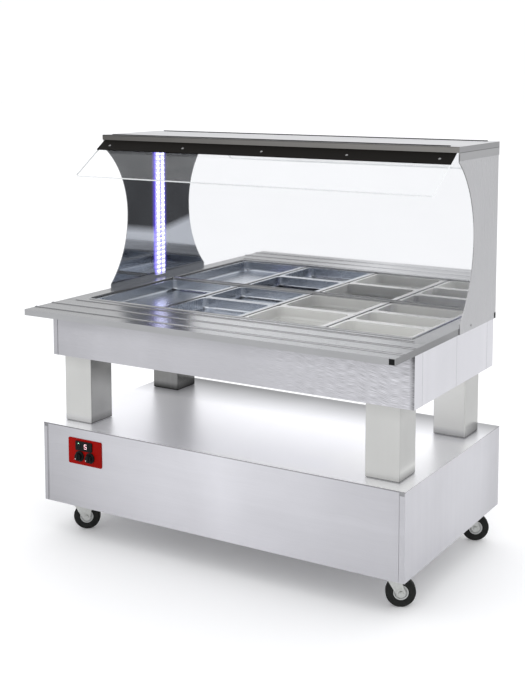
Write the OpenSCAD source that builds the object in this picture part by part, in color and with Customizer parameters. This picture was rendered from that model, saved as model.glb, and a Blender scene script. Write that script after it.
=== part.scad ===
// Mobile refrigerated salad bar: a wall-side unit on castors.
// Millimetres. +Z is up, the customer's side faces -Y, and the origin is on the floor
// under the middle of the unit.

/* [Overall] */
// Length over the ends of the top shelf
unit_len = 1500; // [1440:10:1900]
// Height to the top of the shelf's edge strips
unit_h = 1490; // [1350:10:1800]
// Thickness of the folded steel sheet
sheet = 1.5; // [1:0.1:2]
// Visible joint between two neighbouring sheets
seam = 1; // [0.6:0.1:2]
// Play between a pin or shaft and its bore, on the radius
running_fit = 0.05; // [0.02:0.01:0.09]
// Play between separate pieces that may move past each other
part_gap = 0.5; // [0.3:0.1:1]

/* [Plinth] */
// Depth of the plinth
plinth_d = 830; // [780:10:1000]
// Height of the plinth's panels
plinth_h = 300; // [260:10:380]
// How much shorter the plinth is than the shelf, at each end
plinth_inset = 6; // [4:1:20]
// Width of the side panels' folds on the front and the rear
plinth_fold = 20; // [14:1:30]
// Height of the deck's turned-down rim
deck_rim = 15; // [10:1:25]
// Height of the floor's turned-up rim
floor_rim = 25; // [15:1:40]
// How far the rear service panel lies inside the plinth's rear edge
service_recess = 25; // [24:1:40]
// Length of one louvre
louvre_len = 170; // [100:5:190]
// Height of a louvre's slot
louvre_slot = 7; // [5:0.5:9]
// Distance between two louvres, one above the other
louvre_pitch = 24; // [20:1:28]
// Louvres in each of the two banks
louvre_rows = 8; // [4:1:8]

/* [Legs] */
// Width of a square leg
leg_w = 124; // [100:2:150]
// Outer corner radius of a leg
leg_r = 4; // [2:0.5:8]
// Height of the shadow gap under a leg
leg_gap = 2; // [1:0.5:4]
// Distance of the legs from the tank's ends
leg_inset = 50; // [30:5:90]
// Distance of the legs from the tank's front and rear
leg_setback = 4; // [2:1:20]

/* [Tank] */
// Depth of the tank
tank_d = 686; // [660:2:760]
// Height from the tank's underside to the worktop's surface
tank_h = 198; // [170:2:260]
// How much shorter the tank is than the shelf, at each end
tank_inset = 7.5; // [6:0.5:20]
// Width of the front and rear panels' folds on the sides
tank_fold = 60; // [40:5:90]
// Distance of the pressed line on the tank's front from its ends
tank_line = 18; // [12:1:30]
// Insulation under the well's floor
floor_foam = 38; // [30:1:60]
// Thickness of the well's liner
liner_t = 1.2; // [1:0.1:1.5]
// Outer diameter of the cooling pipe
pipe_d = 8; // [6:1:10]
// Distance between two runs of the cooling pipe
pipe_pitch = 58; // [40:2:70]
// Runs of the cooling pipe under the well
pipe_runs = 8; // [4:2:8]

/* [Worktop] */
// Height of the worktop's surface
worktop_z = 870; // [820:10:960]
// Depth of the worktop
worktop_d = 842; // [820:2:900]
// Distance from the worktop's front edge to the tank's front
tank_setback = 152; // [120:2:156]
// Distance from the worktop's front edge to the plinth's front
plinth_setback = 90; // [60:5:120]
// Height of the worktop's folded lip
lip_h = 22; // [16:1:30]
// Width of the lip's fold under the front edge
lip_fold = 22; // [16:1:40]
// Distances of the tray slide's ribs from the front edge
rib_at = [62, 154, 240];
// Distance from the worktop's ends to each rib's ends; below zero a rib runs right out
rib_inset = [-40, -40, 40];
// Width of a rib
rib_w = 14; // [10:1:20]
// Height of a rib
rib_h = 3; // [2:0.5:5]

/* [Pans] */
// Width of a full-size pan, along the unit
pan_w = 325; // [300:5:340]
// Length of a full-size pan, front to rear
pan_l = 530; // [500:5:540]
// Depth of a pan
pan_depth = 40; // [20:5:65]
// Thickness of a pan's wall
pan_t = 1; // [0.8:0.1:3]
// Width of the flange round a pan
pan_flange = 14; // [12:1:20]
// Width of the bar between two columns of pans
bar_w = 12; // [8:1:20]
// Spare length and width in a pan's place
pan_play = 2; // [1:0.5:4]
// Depth of the recess round the well
recess = 5; // [4:0.5:8]
// Width of the ledge that carries the pans
ledge = 13; // [10:1:18]
// Distance of the well from the worktop's front edge
well_setback = 286; // [270:2:300]
// Height of the raised rim round the well
rim_h = 4; // [2:0.5:6]
// How far the pans lift out
pan_lift = 150; // [80:10:300]

/* [Superstructure] */
// Depth of a side panel at its ends
panel_d = 337; // [300:1:400]
// Thickness of a side panel
panel_t = 3; // [2:0.5:5]
// Depth of the hollow in a side panel's front edge
hollow = 115; // [80:1:180]
// How far the top of a side panel reaches in front of its foot
head_reach = 30; // [0:1:60]
// Straight length of the front edge under the hollow, above the worktop
hollow_foot = 15; // [5:1:60]
// Straight length of the front edge over the hollow, under the shelf
hollow_head = 32; // [20:1:60]
// Distance from the mirror panel's face to the side panels' rear edges
mirror_inset = 6; // [4:0.5:8]
// Width of a light strip
led_w = 30; // [12:1:40]
// Thickness of a light strip
led_t = 6; // [4:0.5:10]
// How far the shelf's front edge lies in front of the side panels' tops
shelf_front = 5; // [3:1:60]
// How far the shelf's rear edge lies behind the side panels
shelf_rear = 2; // [2:1:20]
// Height of the shelf's front and rear lips
shelf_lip = 20; // [16:1:30]
// Height of the shelf's end flanges
shelf_end = 48; // [30:1:70]
// Width of a rubber edge strip on the shelf
strip_w = 7; // [5:0.5:12]
// Height of the edge strips above the shelf
strip_h = 3; // [2:0.5:5]

/* [Guard] */
// Slope of the guard below the horizontal
guard_angle = 34; // [20:1:50]
// Length of the guard down its slope
guard_len = 216; // [150:1:300]
// Width of the guard
guard_w = 1474; // [1380:2:1480]
// Thickness of the guard
guard_t = 6; // [4:0.5:8]
// Length of the bracket's slanting flange
bracket_len = 61; // [40:1:90]
// Thickness of the bracket
bracket_t = 3; // [2:0.5:4]
// Screws that hold the guard
guard_screws_n = 5; // [3:1:9]
// Radius of a guard screw
guard_screw_r = 3; // [2:0.5:4]

/* [Controls] */
// Width of the control plate
plate_w = 156; // [140:1:200]
// Height of the control plate
plate_h = 98; // [90:1:130]
// Distance of the control plate from the plinth's left end
plate_inset = 120; // [60:5:200]
// Distance of the control plate from the deck
plate_drop = 38; // [20:1:80]
// Width and height of the thermostat's bezel
bezel = [77, 35];
// Diameter of a knob's skirt
knob_d = 40; // [30:1:44]
// Distance between the two knobs
knob_pitch = 49; // [46:1:60]
// Radius of a knob's shaft
knob_shaft_r = 3; // [2:0.5:4]

/* [Castors] */
// Diameter of a wheel
wheel_d = 100; // [80:5:125]
// Width of a tyre
tyre_w = 28; // [22:1:36]
// Diameter of the hub
hub_d = 50; // [40:1:60]
// Height of the fork and the plate over the wheel
castor_head = 25; // [24:1:40]
// Distance of the axle behind the swivel
trail = 32; // [25:1:40]
// Distance of the swivel from the plinth's ends, front and rear
castor_inset = 88; // [85:1:120]
// How far a brake pedal turns down
brake_turn = 12; // [8:1:16]
// Direction in which the wheels trail, seen from above
castor_yaw = 30; // [0:5:345]
// Radius of the swivel pin
swivel_r = 6; // [5:0.5:8]
// Radius of the axle bolt
axle_r = 5; // [4:0.5:6]

/* [Cooling] */
// Diameter of the compressor's pot
pot_d = 150; // [120:5:170]
// Height of the compressor's pot
pot_h = 170; // [140:5:190]
// Width of the condenser
coil_w = 290; // [220:10:340]
// Height of the condenser
coil_h = 205; // [160:5:215]
// Distance between two condenser fins
fin_pitch = 12; // [8:1:20]
// Diameter of the fan
fan_d = 176; // [140:2:190]
// Blades of the fan
fan_blades = 5; // [3:1:7]

/* [Hidden] */
$fn = 64;
arc_fn = 180;
eps = 0.01;

half_len = unit_len / 2;
panel_x = half_len - sheet;
worktop_x = panel_x - panel_t;
tank_x = half_len - tank_inset;
plinth_x = half_len - plinth_inset;

unit_d = plinth_setback + plinth_d;
front_y = -unit_d / 2;
plinth_y0 = front_y + plinth_setback;
plinth_y1 = plinth_y0 + plinth_d;
tank_y0 = front_y + tank_setback;
tank_y1 = tank_y0 + tank_d;
worktop_y1 = front_y + worktop_d;
panel_y1 = worktop_y1;
panel_y0 = panel_y1 - panel_d;
head_y = panel_y0 - head_reach;
mirror_y = panel_y1 - mirror_inset;
shelf_y0 = head_y - shelf_front;
shelf_y1 = panel_y1 + shelf_rear;
service_y = plinth_y1 - service_recess;

castor_h = wheel_d + castor_head;
plinth_z0 = castor_h;
deck_z = plinth_z0 + plinth_h;
tank_z0 = worktop_z - tank_h;
skin_z1 = worktop_z - sheet;
lip_z = worktop_z - lip_h;
shelf_z = unit_h - strip_h;
shelf_under = shelf_z - sheet;

leg_x = tank_x - leg_inset - leg_w / 2;
leg_y = [tank_y0 + leg_setback + leg_w / 2, tank_y1 - leg_setback - leg_w / 2];
duct_r = 30;

pan_columns = 4;
pan_rows = [1, 2, 2, 3];
well_l = pan_columns * (pan_w + pan_play) + (pan_columns - 1) * (bar_w - pan_play);
well_d = pan_l + 2 * pan_play + 2;
well_r = 14;
well_y0 = front_y + well_setback;
well_cy = well_y0 + well_d / 2;
ledge_z = worktop_z - recess;
tub_l = well_l - 2 * ledge;
tub_d = well_d - 2 * ledge;
tub_r = 20;
liner_z0 = tank_z0 + sheet + floor_foam;
liner_z1 = ledge_z - sheet;
liner_flange = 10;
bar_foot_t = 3;
column_pitch = pan_w + bar_w;
function column_x(i) = (i - (pan_columns - 1) / 2) * column_pitch;
function row_l(rows) = floor(10 * (pan_l - (rows - 1) * pan_play) / rows) / 10;
function row_y(rows, j) = well_cy + (j - (rows - 1) / 2) * (row_l(rows) + pan_play);

panel_h = shelf_under - lip_z;
hollow_z0 = worktop_z + hollow_foot;
hollow_z1 = shelf_z - shelf_lip - hollow_head;
hollow_half = (hollow_z1 - hollow_z0) / 2;
hollow_y = panel_y0 + hollow;
hollow_z = (hollow_z0 + hollow_z1) / 2;

guard_y = shelf_y0 + sheet;
guard_z = shelf_z - shelf_lip;
guard_top = 6;
screw_at = 35;
screw_margin = 45;

plate_t = 2;
plate_x0 = -plinth_x + plate_inset;
plate_z1 = deck_z - plate_drop;
plate_cx = plate_x0 + plate_w / 2;
bezel_cz = plate_z1 - 8.5 - bezel[1] / 2;
knob_z = plate_z1 - 66;
knob_x = [plate_x0 + 54, plate_x0 + 54 + knob_pitch];
bezel_cx = plate_x0 + 36 + bezel[0] / 2;
switch_w = 34;

castor_x = plinth_x - castor_inset;
castor_y = [plinth_y0 + castor_inset, plinth_y1 - castor_inset];
castor_plate = [104, 84, 3];
castor_holes = [80, 60];
castor_bolt_r = 4;
race_r = 32;
race_h = 6;
fork_z1 = castor_h - castor_plate[2] - race_h - part_gap;
fork_t = 3;
fork_half = tyre_w / 2 + 3;
fork_boss_r = 15;
axle_z = wheel_d / 2;
pedal_pin = [trail + 19, castor_h - 18];
pedal_pin_r = 3;
pedal_tip = [trail + 62, castor_h - 42];

drain_r = 16;
drain_x = 10 - leg_x;
drain_y = leg_y[1] - 6;
drain_reach = tub_l / 2 - 35;
sump_x = -drain_x <= drain_reach ? drain_x : -min(drain_reach, -drain_x - 2 * (drain_r + 2));
drain_t = 3;
drain_z = plinth_z0 + 70;
drain_bend = 40;

coil_x = 330;
coil_d = 45;
coil_y1 = service_y - 14;
coil_z0 = plinth_z0 + sheet + 12;
fan_z = coil_z0 + coil_h / 2;
fan_y = coil_y1 - coil_d - 28;
motor_shaft_r = 4;
pot_x = 40;
pot_y = leg_y[1] - 24;
pot_z = plinth_z0 + sheet + 16;
service_cx = [coil_x - 98, coil_x + 98];
gland_x = -420;
gland_z = plinth_z0 + 90;
gland_r = 10;
driver_x = plate_cx + 62;

CORNERS = [[-1, 0], [1, 0], [-1, 1], [1, 1]];

STEEL = [0.80, 0.80, 0.82];
BRIGHT = [0.88, 0.89, 0.91];
ZINC = [0.72, 0.73, 0.72];
BLACK = [0.09, 0.09, 0.09];
WHITE = [0.95, 0.95, 0.94];
COPPER = [0.72, 0.43, 0.28];

// ---------------------------------------------------------------- shared forms

// Rectangle with round corners, centred
module rounded_rect(l, w, r) {
  union() {
    square([l - 2 * r, w], center = true);
    square([l, w - 2 * r], center = true);
    for (sx = [-1, 1], sy = [-1, 1])
      translate([sx * (l / 2 - r), sy * (w / 2 - r)]) circle(r);
  }
}

// Block from z0 to z1 with round upright corners, centred at x, y
module block(l, w, z0, z1, x = 0, y = 0, r = 0) {
  translate([x, y, z0])
    linear_extrude(z1 - z0)
      if (r > 0) rounded_rect(l, w, r);
      else square([l, w], center = true);
}

// Block between two corners
module span(x, y, z) {
  translate([x[0], y[0], z[0]]) cube([x[1] - x[0], y[1] - y[0], z[1] - z[0]]);
}

// Profile drawn in Y and Z, drawn out along X between x0 and x1
module along_x(x0, x1) {
  translate([x0, 0, 0]) rotate([90, 0, 90]) linear_extrude(x1 - x0) children();
}

// Copy a piece at the left and the right end
module both_ends() {
  children();
  mirror([1, 0, 0]) children();
}

// Quarter bend of a round bar, from direction a to direction b, round the corner p
module bend(p, a, b, r, bend_r) {
  n = cross(-b, a);
  c = p + bend_r * (b - a);
  multmatrix([[-b[0], a[0], n[0], c[0]], [-b[1], a[1], n[1], c[1]], [-b[2], a[2], n[2], c[2]]])
    rotate_extrude(angle = 90) translate([bend_r, 0]) circle(r, $fn = 24);
}

// Straight round bar from p to q
module bar(p, q, r) {
  v = q - p;
  l = norm(v);
  translate(p) rotate([0, acos(v[2] / l), atan2(v[1], v[0])]) cylinder(h = l, r = r, $fn = 24);
}

// Round bar along square corners, with its bends
module pipe(points, r, bend_r) {
  n = len(points);
  unit = [for (i = [0 : n - 2]) (points[i + 1] - points[i]) / norm(points[i + 1] - points[i])];
  for (i = [0 : n - 2])
    bar(points[i] + (i > 0 ? bend_r : 0) * unit[i],
        points[i + 1] - (i < n - 2 ? bend_r : 0) * unit[i], r);
  for (i = [1 : n - 2]) bend(points[i], unit[i - 1], unit[i], r, bend_r);
}

// ---------------------------------------------------------------- plinth

module plinth_deck() {
  rim_x = plinth_x - sheet;
  color(BRIGHT)
    difference() {
      union() {
        span([-plinth_x, plinth_x], [plinth_y0, plinth_y1], [deck_z - sheet, deck_z]);
        difference() {
          span([-rim_x, rim_x], [plinth_y0 + sheet, service_y - sheet],
               [deck_z - deck_rim, deck_z - sheet]);
          span([-rim_x + sheet, rim_x - sheet], [plinth_y0 + 2 * sheet, service_y - 2 * sheet],
               [deck_z - deck_rim - 1, deck_z]);
        }
      }
      for (s = [-1, 1]) translate([s * leg_x, leg_y[1], deck_z - 2 * sheet])
        cylinder(h = 4 * sheet, r = duct_r);
    }
}

module plinth_front_panel() {
  x1 = plinth_x - plinth_fold - seam;
  window_w = plate_w - 24;
  stiffener = 15;
  color(STEEL)
    difference() {
      union() {
        span([-x1, x1], [plinth_y0, plinth_y0 + sheet], [plinth_z0, deck_z - sheet]);
        both_ends()
          span([x1 - sheet, x1], [plinth_y0, plinth_y0 + stiffener],
               [plinth_z0 + floor_rim + 5, deck_z - deck_rim - 5]);
      }
      span([plate_cx - window_w / 2, plate_cx + window_w / 2],
           [plinth_y0 - 1, plinth_y0 + sheet + 1],
           [plate_z1 - plate_h + 8, plate_z1 - 8]);
    }
}

// Side panel, folded round the plinth's front corner and inwards behind
module plinth_side() {
  z = [plinth_z0, deck_z - sheet];
  color(STEEL)
    difference() {
      union() {
        span([plinth_x - sheet, plinth_x], [plinth_y0, plinth_y1], z);
        span([plinth_x - plinth_fold, plinth_x], [plinth_y0, plinth_y0 + sheet], z);
        span([plinth_x - plinth_fold, plinth_x], [service_y - sheet, service_y], z);
      }
      span([plinth_x - plinth_fold - 1, plinth_x - sheet - 1],
           [plinth_y0 - 1, plinth_y0 + sheet + eps],
           [deck_z - deck_rim, deck_z]);
    }
}
module plinth_side_right() { plinth_side(); }
module plinth_side_left() { mirror([1, 0, 0]) plinth_side(); }

// One louvre's slot, cut through the service panel
module louvre_slot_cut(x, z) {
  span([x - louvre_len / 2, x + louvre_len / 2], [service_y - 1, service_y + sheet + 1],
       [z, z + louvre_slot]);
}

// One louvre's hood, pressed out over its slot
module louvre_hood(x, z) {
  reach = 9;
  y = service_y + sheet;
  along_x(x - louvre_len / 2 - sheet, x + louvre_len / 2 + sheet)
    polygon([[y, z + louvre_slot + 4], [y + reach, z + 1], [y + reach, z - 0.5],
             [y + reach - 1.2, z - 0.5], [y, z + louvre_slot + 2]]);
  for (s = [-1, 1])
    translate([x + s * (louvre_len / 2 + sheet / 2), 0, 0])
      along_x(-sheet / 2, sheet / 2)
        polygon([[y, z + louvre_slot + 4], [y + reach, z + 1], [y + reach, z - 0.5], [y, z - 0.5]]);
}

module plinth_service_panel() {
  x1 = plinth_x - sheet - seam;
  z0 = plinth_z0 + 26;
  color(STEEL)
    difference() {
      union() {
        difference() {
          span([-x1, x1], [service_y, service_y + sheet], [plinth_z0, deck_z - sheet]);
          for (x = service_cx, i = [0 : louvre_rows - 1]) louvre_slot_cut(x, z0 + i * louvre_pitch);
        }
        for (x = service_cx, i = [0 : louvre_rows - 1]) louvre_hood(x, z0 + i * louvre_pitch);
      }
      translate([gland_x, service_y - 1, gland_z])
        rotate([-90, 0, 0]) cylinder(h = sheet + 2, r = gland_r + running_fit);
      translate([drain_x, service_y - 1, drain_z])
        rotate([-90, 0, 0]) cylinder(h = sheet + 2, r = drain_r + 1);
    }
}

module plinth_floor() {
  x1 = plinth_x - sheet;
  y0 = plinth_y0 + sheet;
  y1 = service_y - sheet;
  slot_rows = 2;
  slots = 9;
  color(STEEL)
    difference() {
      span([-x1, x1], [y0, y1], [plinth_z0, plinth_z0 + floor_rim]);
      span([-x1 + sheet, x1 - sheet], [y0 + sheet, y1 - sheet],
           [plinth_z0 + sheet, plinth_z0 + floor_rim + 1]);
      for (i = [0 : slots - 1], j = [0 : slot_rows - 1])
        span([coil_x - 150 + i * 34, coil_x - 140 + i * 34],
             [pot_y - 160 + j * 110, pot_y - 80 + j * 110], [plinth_z0 - 1, plinth_z0 + sheet + 1]);
      each_castor_bolt() cylinder(h = 4 * castor_plate[2], r = castor_bolt_r + 0.2, center = true);
    }
}

// ---------------------------------------------------------------- legs

module leg() {
  inner = leg_w - 2 * sheet;
  end_t = 3;
  difference() {
    union() {
      block(leg_w, leg_w, deck_z + leg_gap, tank_z0, r = leg_r);
      block(leg_w - 8, leg_w - 8, deck_z, deck_z + leg_gap + eps, r = leg_r);
    }
    block(inner, inner, deck_z + leg_gap + end_t, tank_z0 - end_t, r = leg_r - sheet);
    translate([0, 0, deck_z - 1]) cylinder(h = tank_z0 - deck_z + 2, r = duct_r);
  }
}
module leg_pair(y) {
  color(BRIGHT) both_ends() translate([leg_x, y, 0]) leg();
}
module front_legs() { leg_pair(leg_y[0]); }
module rear_legs() { leg_pair(leg_y[1]); }

// ---------------------------------------------------------------- tank

// Front or rear skin of the tank, folded round both corners; the face lies at y = 0
module tank_skin() {
  z = [tank_z0, skin_z1];
  span([-tank_x, tank_x], [0, sheet], z);
  both_ends() span([tank_x - sheet, tank_x], [0, tank_fold], z);
}

module tank_front_panel() {
  color(STEEL)
    translate([0, tank_y0, 0])
      difference() {
        tank_skin();
        both_ends()
          span([tank_x - tank_line - seam, tank_x - tank_line], [-1, sheet / 3],
               [tank_z0 - 1, worktop_z]);
      }
}

module tank_rear_panel() {
  color(STEEL) translate([0, tank_y1, 0]) mirror([0, 1, 0]) tank_skin();
}

module tank_side_panels() {
  y = [tank_y0 + tank_fold + seam, tank_y1 - tank_fold - seam];
  line_y = (y[0] + y[1]) / 2;
  fold = 12;
  color(STEEL)
    both_ends()
      difference() {
        union() {
          span([tank_x - sheet, tank_x], y, [tank_z0, skin_z1]);
          for (e = [[y[0], y[0] + sheet], [y[1] - sheet, y[1]]])
            span([tank_x - fold, tank_x], e, [tank_z0 + floor_rim, skin_z1 - fold]);
        }
        span([tank_x - sheet / 3, tank_x + 1], [line_y, line_y + seam], [tank_z0 - 1, worktop_z]);
      }
}

module tank_underside() {
  x1 = tank_x - sheet;
  y = [tank_y0 + sheet, tank_y1 - sheet];
  rim = 20;
  color(STEEL)
    difference() {
      span([-x1, x1], y, [tank_z0, tank_z0 + rim]);
      span([-x1 + sheet, x1 - sheet], [y[0] + sheet, y[1] - sheet],
           [tank_z0 + sheet, tank_z0 + rim + 1]);
      for (s = [-1, 1]) translate([s * leg_x, leg_y[1], tank_z0 - 1])
        cylinder(h = sheet + 2, r = duct_r);
    }
}

module tank_insulation() {
  skin = 2 * sheet + part_gap;
  fold = 12 + part_gap;
  pocket = pipe_d + 2;
  color([0.93, 0.87, 0.62])
    difference() {
      span([-tank_x + fold, tank_x - fold], [tank_y0 + skin, tank_y1 - skin],
           [tank_z0 + sheet, skin_z1 - lip_h / 2]);
      block(tub_l + 2 * liner_t + 2 * part_gap, tub_d + 2 * liner_t + 2 * part_gap,
            liner_z0 - part_gap, worktop_z, y = well_cy, r = tub_r + liner_t + part_gap);
      block(2 * max(tub_l / 2 - 20, leg_x + 5), tub_d - 30, liner_z0 - pocket, liner_z0,
            y = well_cy, r = 20);
      if (sump_x != drain_x)
        span([drain_x, sump_x + drain_r + 1], [drain_y - drain_r - 1, drain_y + drain_r + 1],
             [liner_z0 - 2 * drain_r - 3, liner_z0]);
      for (s = [-1, 1]) translate([s * leg_x, leg_y[1], tank_z0])
        cylinder(h = liner_z0 - tank_z0, r = duct_r);
    }
}

module well_liner() {
  color(BRIGHT)
    difference() {
      union() {
        block(tub_l + 2 * liner_t, tub_d + 2 * liner_t, liner_z0, liner_z1,
              y = well_cy, r = tub_r + liner_t);
        block(tub_l + 2 * liner_flange, tub_d + 2 * liner_flange, liner_z1 - liner_t, liner_z1,
              y = well_cy, r = tub_r);
      }
      block(tub_l, tub_d, liner_z0 + liner_t, liner_z1 + 1, y = well_cy, r = tub_r);
      translate([sump_x, drain_y, liner_z0 - 1]) cylinder(h = liner_t + 2, r = drain_r + 0.3);
    }
}

// Coil under the well with its suction and liquid lines, and the hot-gas line
module cooling_circuit() {
  r = pipe_d / 2;
  thin = r * 0.75;
  z = liner_z0 - r - part_gap;
  reach = tub_l / 2 - 80;
  turn = pipe_pitch / 2;
  y1 = leg_y[1] - 8;
  y0 = y1 - (pipe_runs - 1) * pipe_pitch;
  suction_x = leg_x - 18;
  liquid = [leg_x - 2, leg_y[1] + 12];
  coil_cy = coil_y1 - coil_d / 2;
  pot_top = pot_z + pot_h;
  gas_z = pot_z + pot_h * 0.6;
  gas_x = pot_x + pot_d / 2;
  coil_x0 = coil_x - coil_w / 2 - 2;
  color(COPPER) {
    union() {
      for (i = [0 : pipe_runs - 1])
        translate([-reach, y0 + i * pipe_pitch, z])
          rotate([0, 90, 0]) cylinder(h = 2 * reach, r = r, $fn = 24);
      for (i = [0 : pipe_runs - 2])
        translate([(i % 2 == 0 ? -1 : 1) * reach, y0 + (i + 0.5) * pipe_pitch, z])
          rotate([0, 0, i % 2 == 0 ? 90 : -90])
            rotate_extrude(angle = 180) translate([turn, 0]) circle(r, $fn = 24);
      pipe([[reach, y1, z], [suction_x, y1, z], [suction_x, y1, pot_top + 60],
            [pot_x, y1, pot_top + 60], [pot_x, pot_y, pot_top + 60],
            [pot_x, pot_y, pot_top + 22]], r, 15);
      pipe([[reach, y0, z], [liquid[0], y0, z], [liquid[0], liquid[1], z],
            [liquid[0], liquid[1], fan_z + 60], [liquid[0], coil_cy, fan_z + 60],
            [coil_x + coil_w / 2 + 2, coil_cy, fan_z + 60]], thin, 14);
    }
    pipe([[gas_x, pot_y, gas_z], [(gas_x + coil_x0) / 2, pot_y, gas_z],
          [(gas_x + coil_x0) / 2, coil_cy, gas_z], [coil_x0, coil_cy, gas_z]], thin, 14);
  }
}

// Drain line down from the liner; it steps sideways under the liner where the leg stands beyond it
module drain_line(z_top, end_y, r) {
  step_z = liner_z0 - drain_r - 1;
  join_z = tank_z0 - 2 * drain_bend;
  union() {
    if (sump_x != drain_x)
      pipe([[sump_x, drain_y, z_top], [sump_x, drain_y, step_z], [drain_x, drain_y, step_z],
            [drain_x, drain_y, join_z]], r, drain_r + 2);
    pipe([[drain_x, drain_y, sump_x == drain_x ? z_top : join_z], [drain_x, drain_y, drain_z],
          [drain_x, end_y, drain_z]], r, drain_bend);
  }
}

module drain_pipe() {
  z1 = liner_z0 + liner_t;
  strainer_r = 28;
  end_y = plinth_y1 - 4;
  spigot_y = service_y + sheet + 0.5;
  color(STEEL)
    difference() {
      union() {
        translate([sump_x, drain_y, z1]) cylinder(h = 2, r = strainer_r);
        drain_line(z1 + 2, spigot_y, drain_r);
        bar([drain_x, spigot_y - 1, drain_z], [drain_x, end_y, drain_z], drain_r - 1);
      }
      drain_line(z1 + 4, end_y + 1, drain_r - drain_t);
    }
}

// ---------------------------------------------------------------- worktop and pans

// Pressed rib: the top of a round bar with round ends, standing rib_h over the sheet
module rib(d, inset) {
  r = (pow(rib_w / 2, 2) + pow(rib_h, 2)) / (2 * rib_h);
  reach = worktop_x - inset - rib_w / 2;
  translate([0, front_y + d, worktop_z + rib_h - r])
    intersection() {
      union() {
        rotate([0, 90, 0]) cylinder(h = 2 * reach, r = r, center = true);
        for (s = [-1, 1]) translate([s * reach, 0, 0]) sphere(r);
      }
      translate([-worktop_x, -rib_w, r - rib_h - sheet / 2])
        cube([2 * worktop_x, 2 * rib_w, rib_h + sheet]);
    }
}

// Half-round rim round the well
module well_rim() {
  gap = 2;
  l = well_l / 2 + gap + rim_h;
  w = well_d / 2 + gap + rim_h;
  r = well_r;
  translate([0, well_cy, worktop_z - eps]) {
    for (s = [-1, 1]) {
      translate([0, s * w, 0]) rotate([0, 90, 0])
        cylinder(h = 2 * (l - r), r = rim_h, center = true, $fn = 32);
      translate([s * l, 0, 0]) rotate([90, 0, 0])
        cylinder(h = 2 * (w - r), r = rim_h, center = true, $fn = 32);
    }
    for (i = [0 : 3])
      translate([(i == 0 || i == 3 ? 1 : -1) * (l - r), (i < 2 ? 1 : -1) * (w - r), 0])
        rotate([0, 0, 90 * i]) rotate_extrude(angle = 90) translate([r, 0]) circle(rim_h, $fn = 32);
  }
}

module worktop() {
  y = [front_y, worktop_y1];
  notch = 20;
  color(BRIGHT)
    difference() {
      union() {
        difference() {
          union() {
            span([-worktop_x, worktop_x], y, [lip_z, worktop_z]);
          }
          span([-worktop_x + sheet, worktop_x - sheet], [y[0] + sheet, y[1] - sheet],
               [lip_z - 1, worktop_z - sheet]);
        }
        span([-worktop_x, worktop_x], [front_y, front_y + lip_fold], [lip_z, lip_z + sheet]);
        block(well_l + 2 * sheet, well_d + 2 * sheet, ledge_z - sheet, worktop_z,
              y = well_cy, r = well_r + sheet);
        intersection() {
          well_rim();
          span([-worktop_x, worktop_x], y, [worktop_z - sheet, worktop_z + rim_h + 1]);
        }
        for (i = [0 : len(rib_at) - 1]) rib(rib_at[i], rib_inset[i]);
      }
      block(well_l, well_d, ledge_z, worktop_z + 2 * rim_h, y = well_cy, r = well_r);
      block(tub_l, tub_d, ledge_z - 2 * sheet, worktop_z, y = well_cy, r = tub_r);
      span([worktop_x - sheet - notch, worktop_x - sheet], [front_y - 1, front_y + sheet + eps],
           [lip_z + sheet, worktop_z - sheet]);
    }
}

// Bar of T section between two columns of pans
module pan_cross_bars() {
  foot_w = bar_w + 2 * ledge / 2;
  web_w = bar_w - pan_play;
  color(BRIGHT)
    for (i = [0 : pan_columns - 2])
      translate([(column_x(i) + column_x(i + 1)) / 2, well_cy, 0])
        union() {
          block(foot_w, tub_d - 2, ledge_z - bar_foot_t, ledge_z);
          block(web_w, well_d - 2, ledge_z, ledge_z + recess - 1);
        }
}

// Tray form with round upright corners r and a rounded floor edge
module dish(l, w, h, r, edge) {
  module profile(half) {
    union() {
      translate([-half, edge]) square([2 * half, h - edge]);
      translate([edge - half, 0]) square([2 * (half - edge), h]);
      for (s = [-1, 1]) translate([s * (half - edge), edge]) circle(edge);
    }
  }
  module corner_profile() {
    intersection() {
      profile(r);
      square([r, h]);
    }
  }
  rotate([90, 0, 0]) linear_extrude(w - 2 * r, center = true) profile(l / 2);
  rotate([90, 0, 90]) linear_extrude(l - 2 * r, center = true) profile(w / 2);
  for (i = [0 : 3])
    translate([(i == 0 || i == 3 ? 1 : -1) * (l / 2 - r), (i < 2 ? 1 : -1) * (w / 2 - r), 0])
      rotate([0, 0, 90 * i]) rotate_extrude(angle = 90) corner_profile();
}

// Pan with a flat flange; its rim lies on the ledge
module pan(w, l, x, y, tone = BRIGHT) {
  r = 24;
  edge = 12;
  body_w = w - 2 * pan_flange;
  body_l = l - 2 * pan_flange;
  flange_t = 2;
  color(tone)
    translate([x, y, ledge_z])
      difference() {
        union() {
          block(w - pan_play, l, 0, flange_t, r = well_r);
          translate([0, 0, -pan_depth]) dish(body_w, body_l, pan_depth + flange_t, r, edge);
        }
        translate([0, 0, pan_t - pan_depth])
          dish(body_w - 2 * pan_t, body_l - 2 * pan_t, pan_depth + flange_t, r - pan_t, edge - pan_t);
      }
}
module pan_in(column, row, tone) {
  rows = pan_rows[column];
  pan(pan_w, row_l(rows), column_x(column), row_y(rows, row), tone);
}
module pan_full() { pan_in(0, 0, BRIGHT); }
module pan_half_1() { pan_in(1, 0, BRIGHT); }
module pan_half_2() { pan_in(1, 1, BRIGHT); }
module pan_half_3() { pan_in(2, 0, WHITE); }
module pan_half_4() { pan_in(2, 1, WHITE); }
module pan_third_1() { pan_in(3, 0, WHITE); }
module pan_third_2() { pan_in(3, 1, WHITE); }
module pan_third_3() { pan_in(3, 2, WHITE); }

// ---------------------------------------------------------------- superstructure

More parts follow.
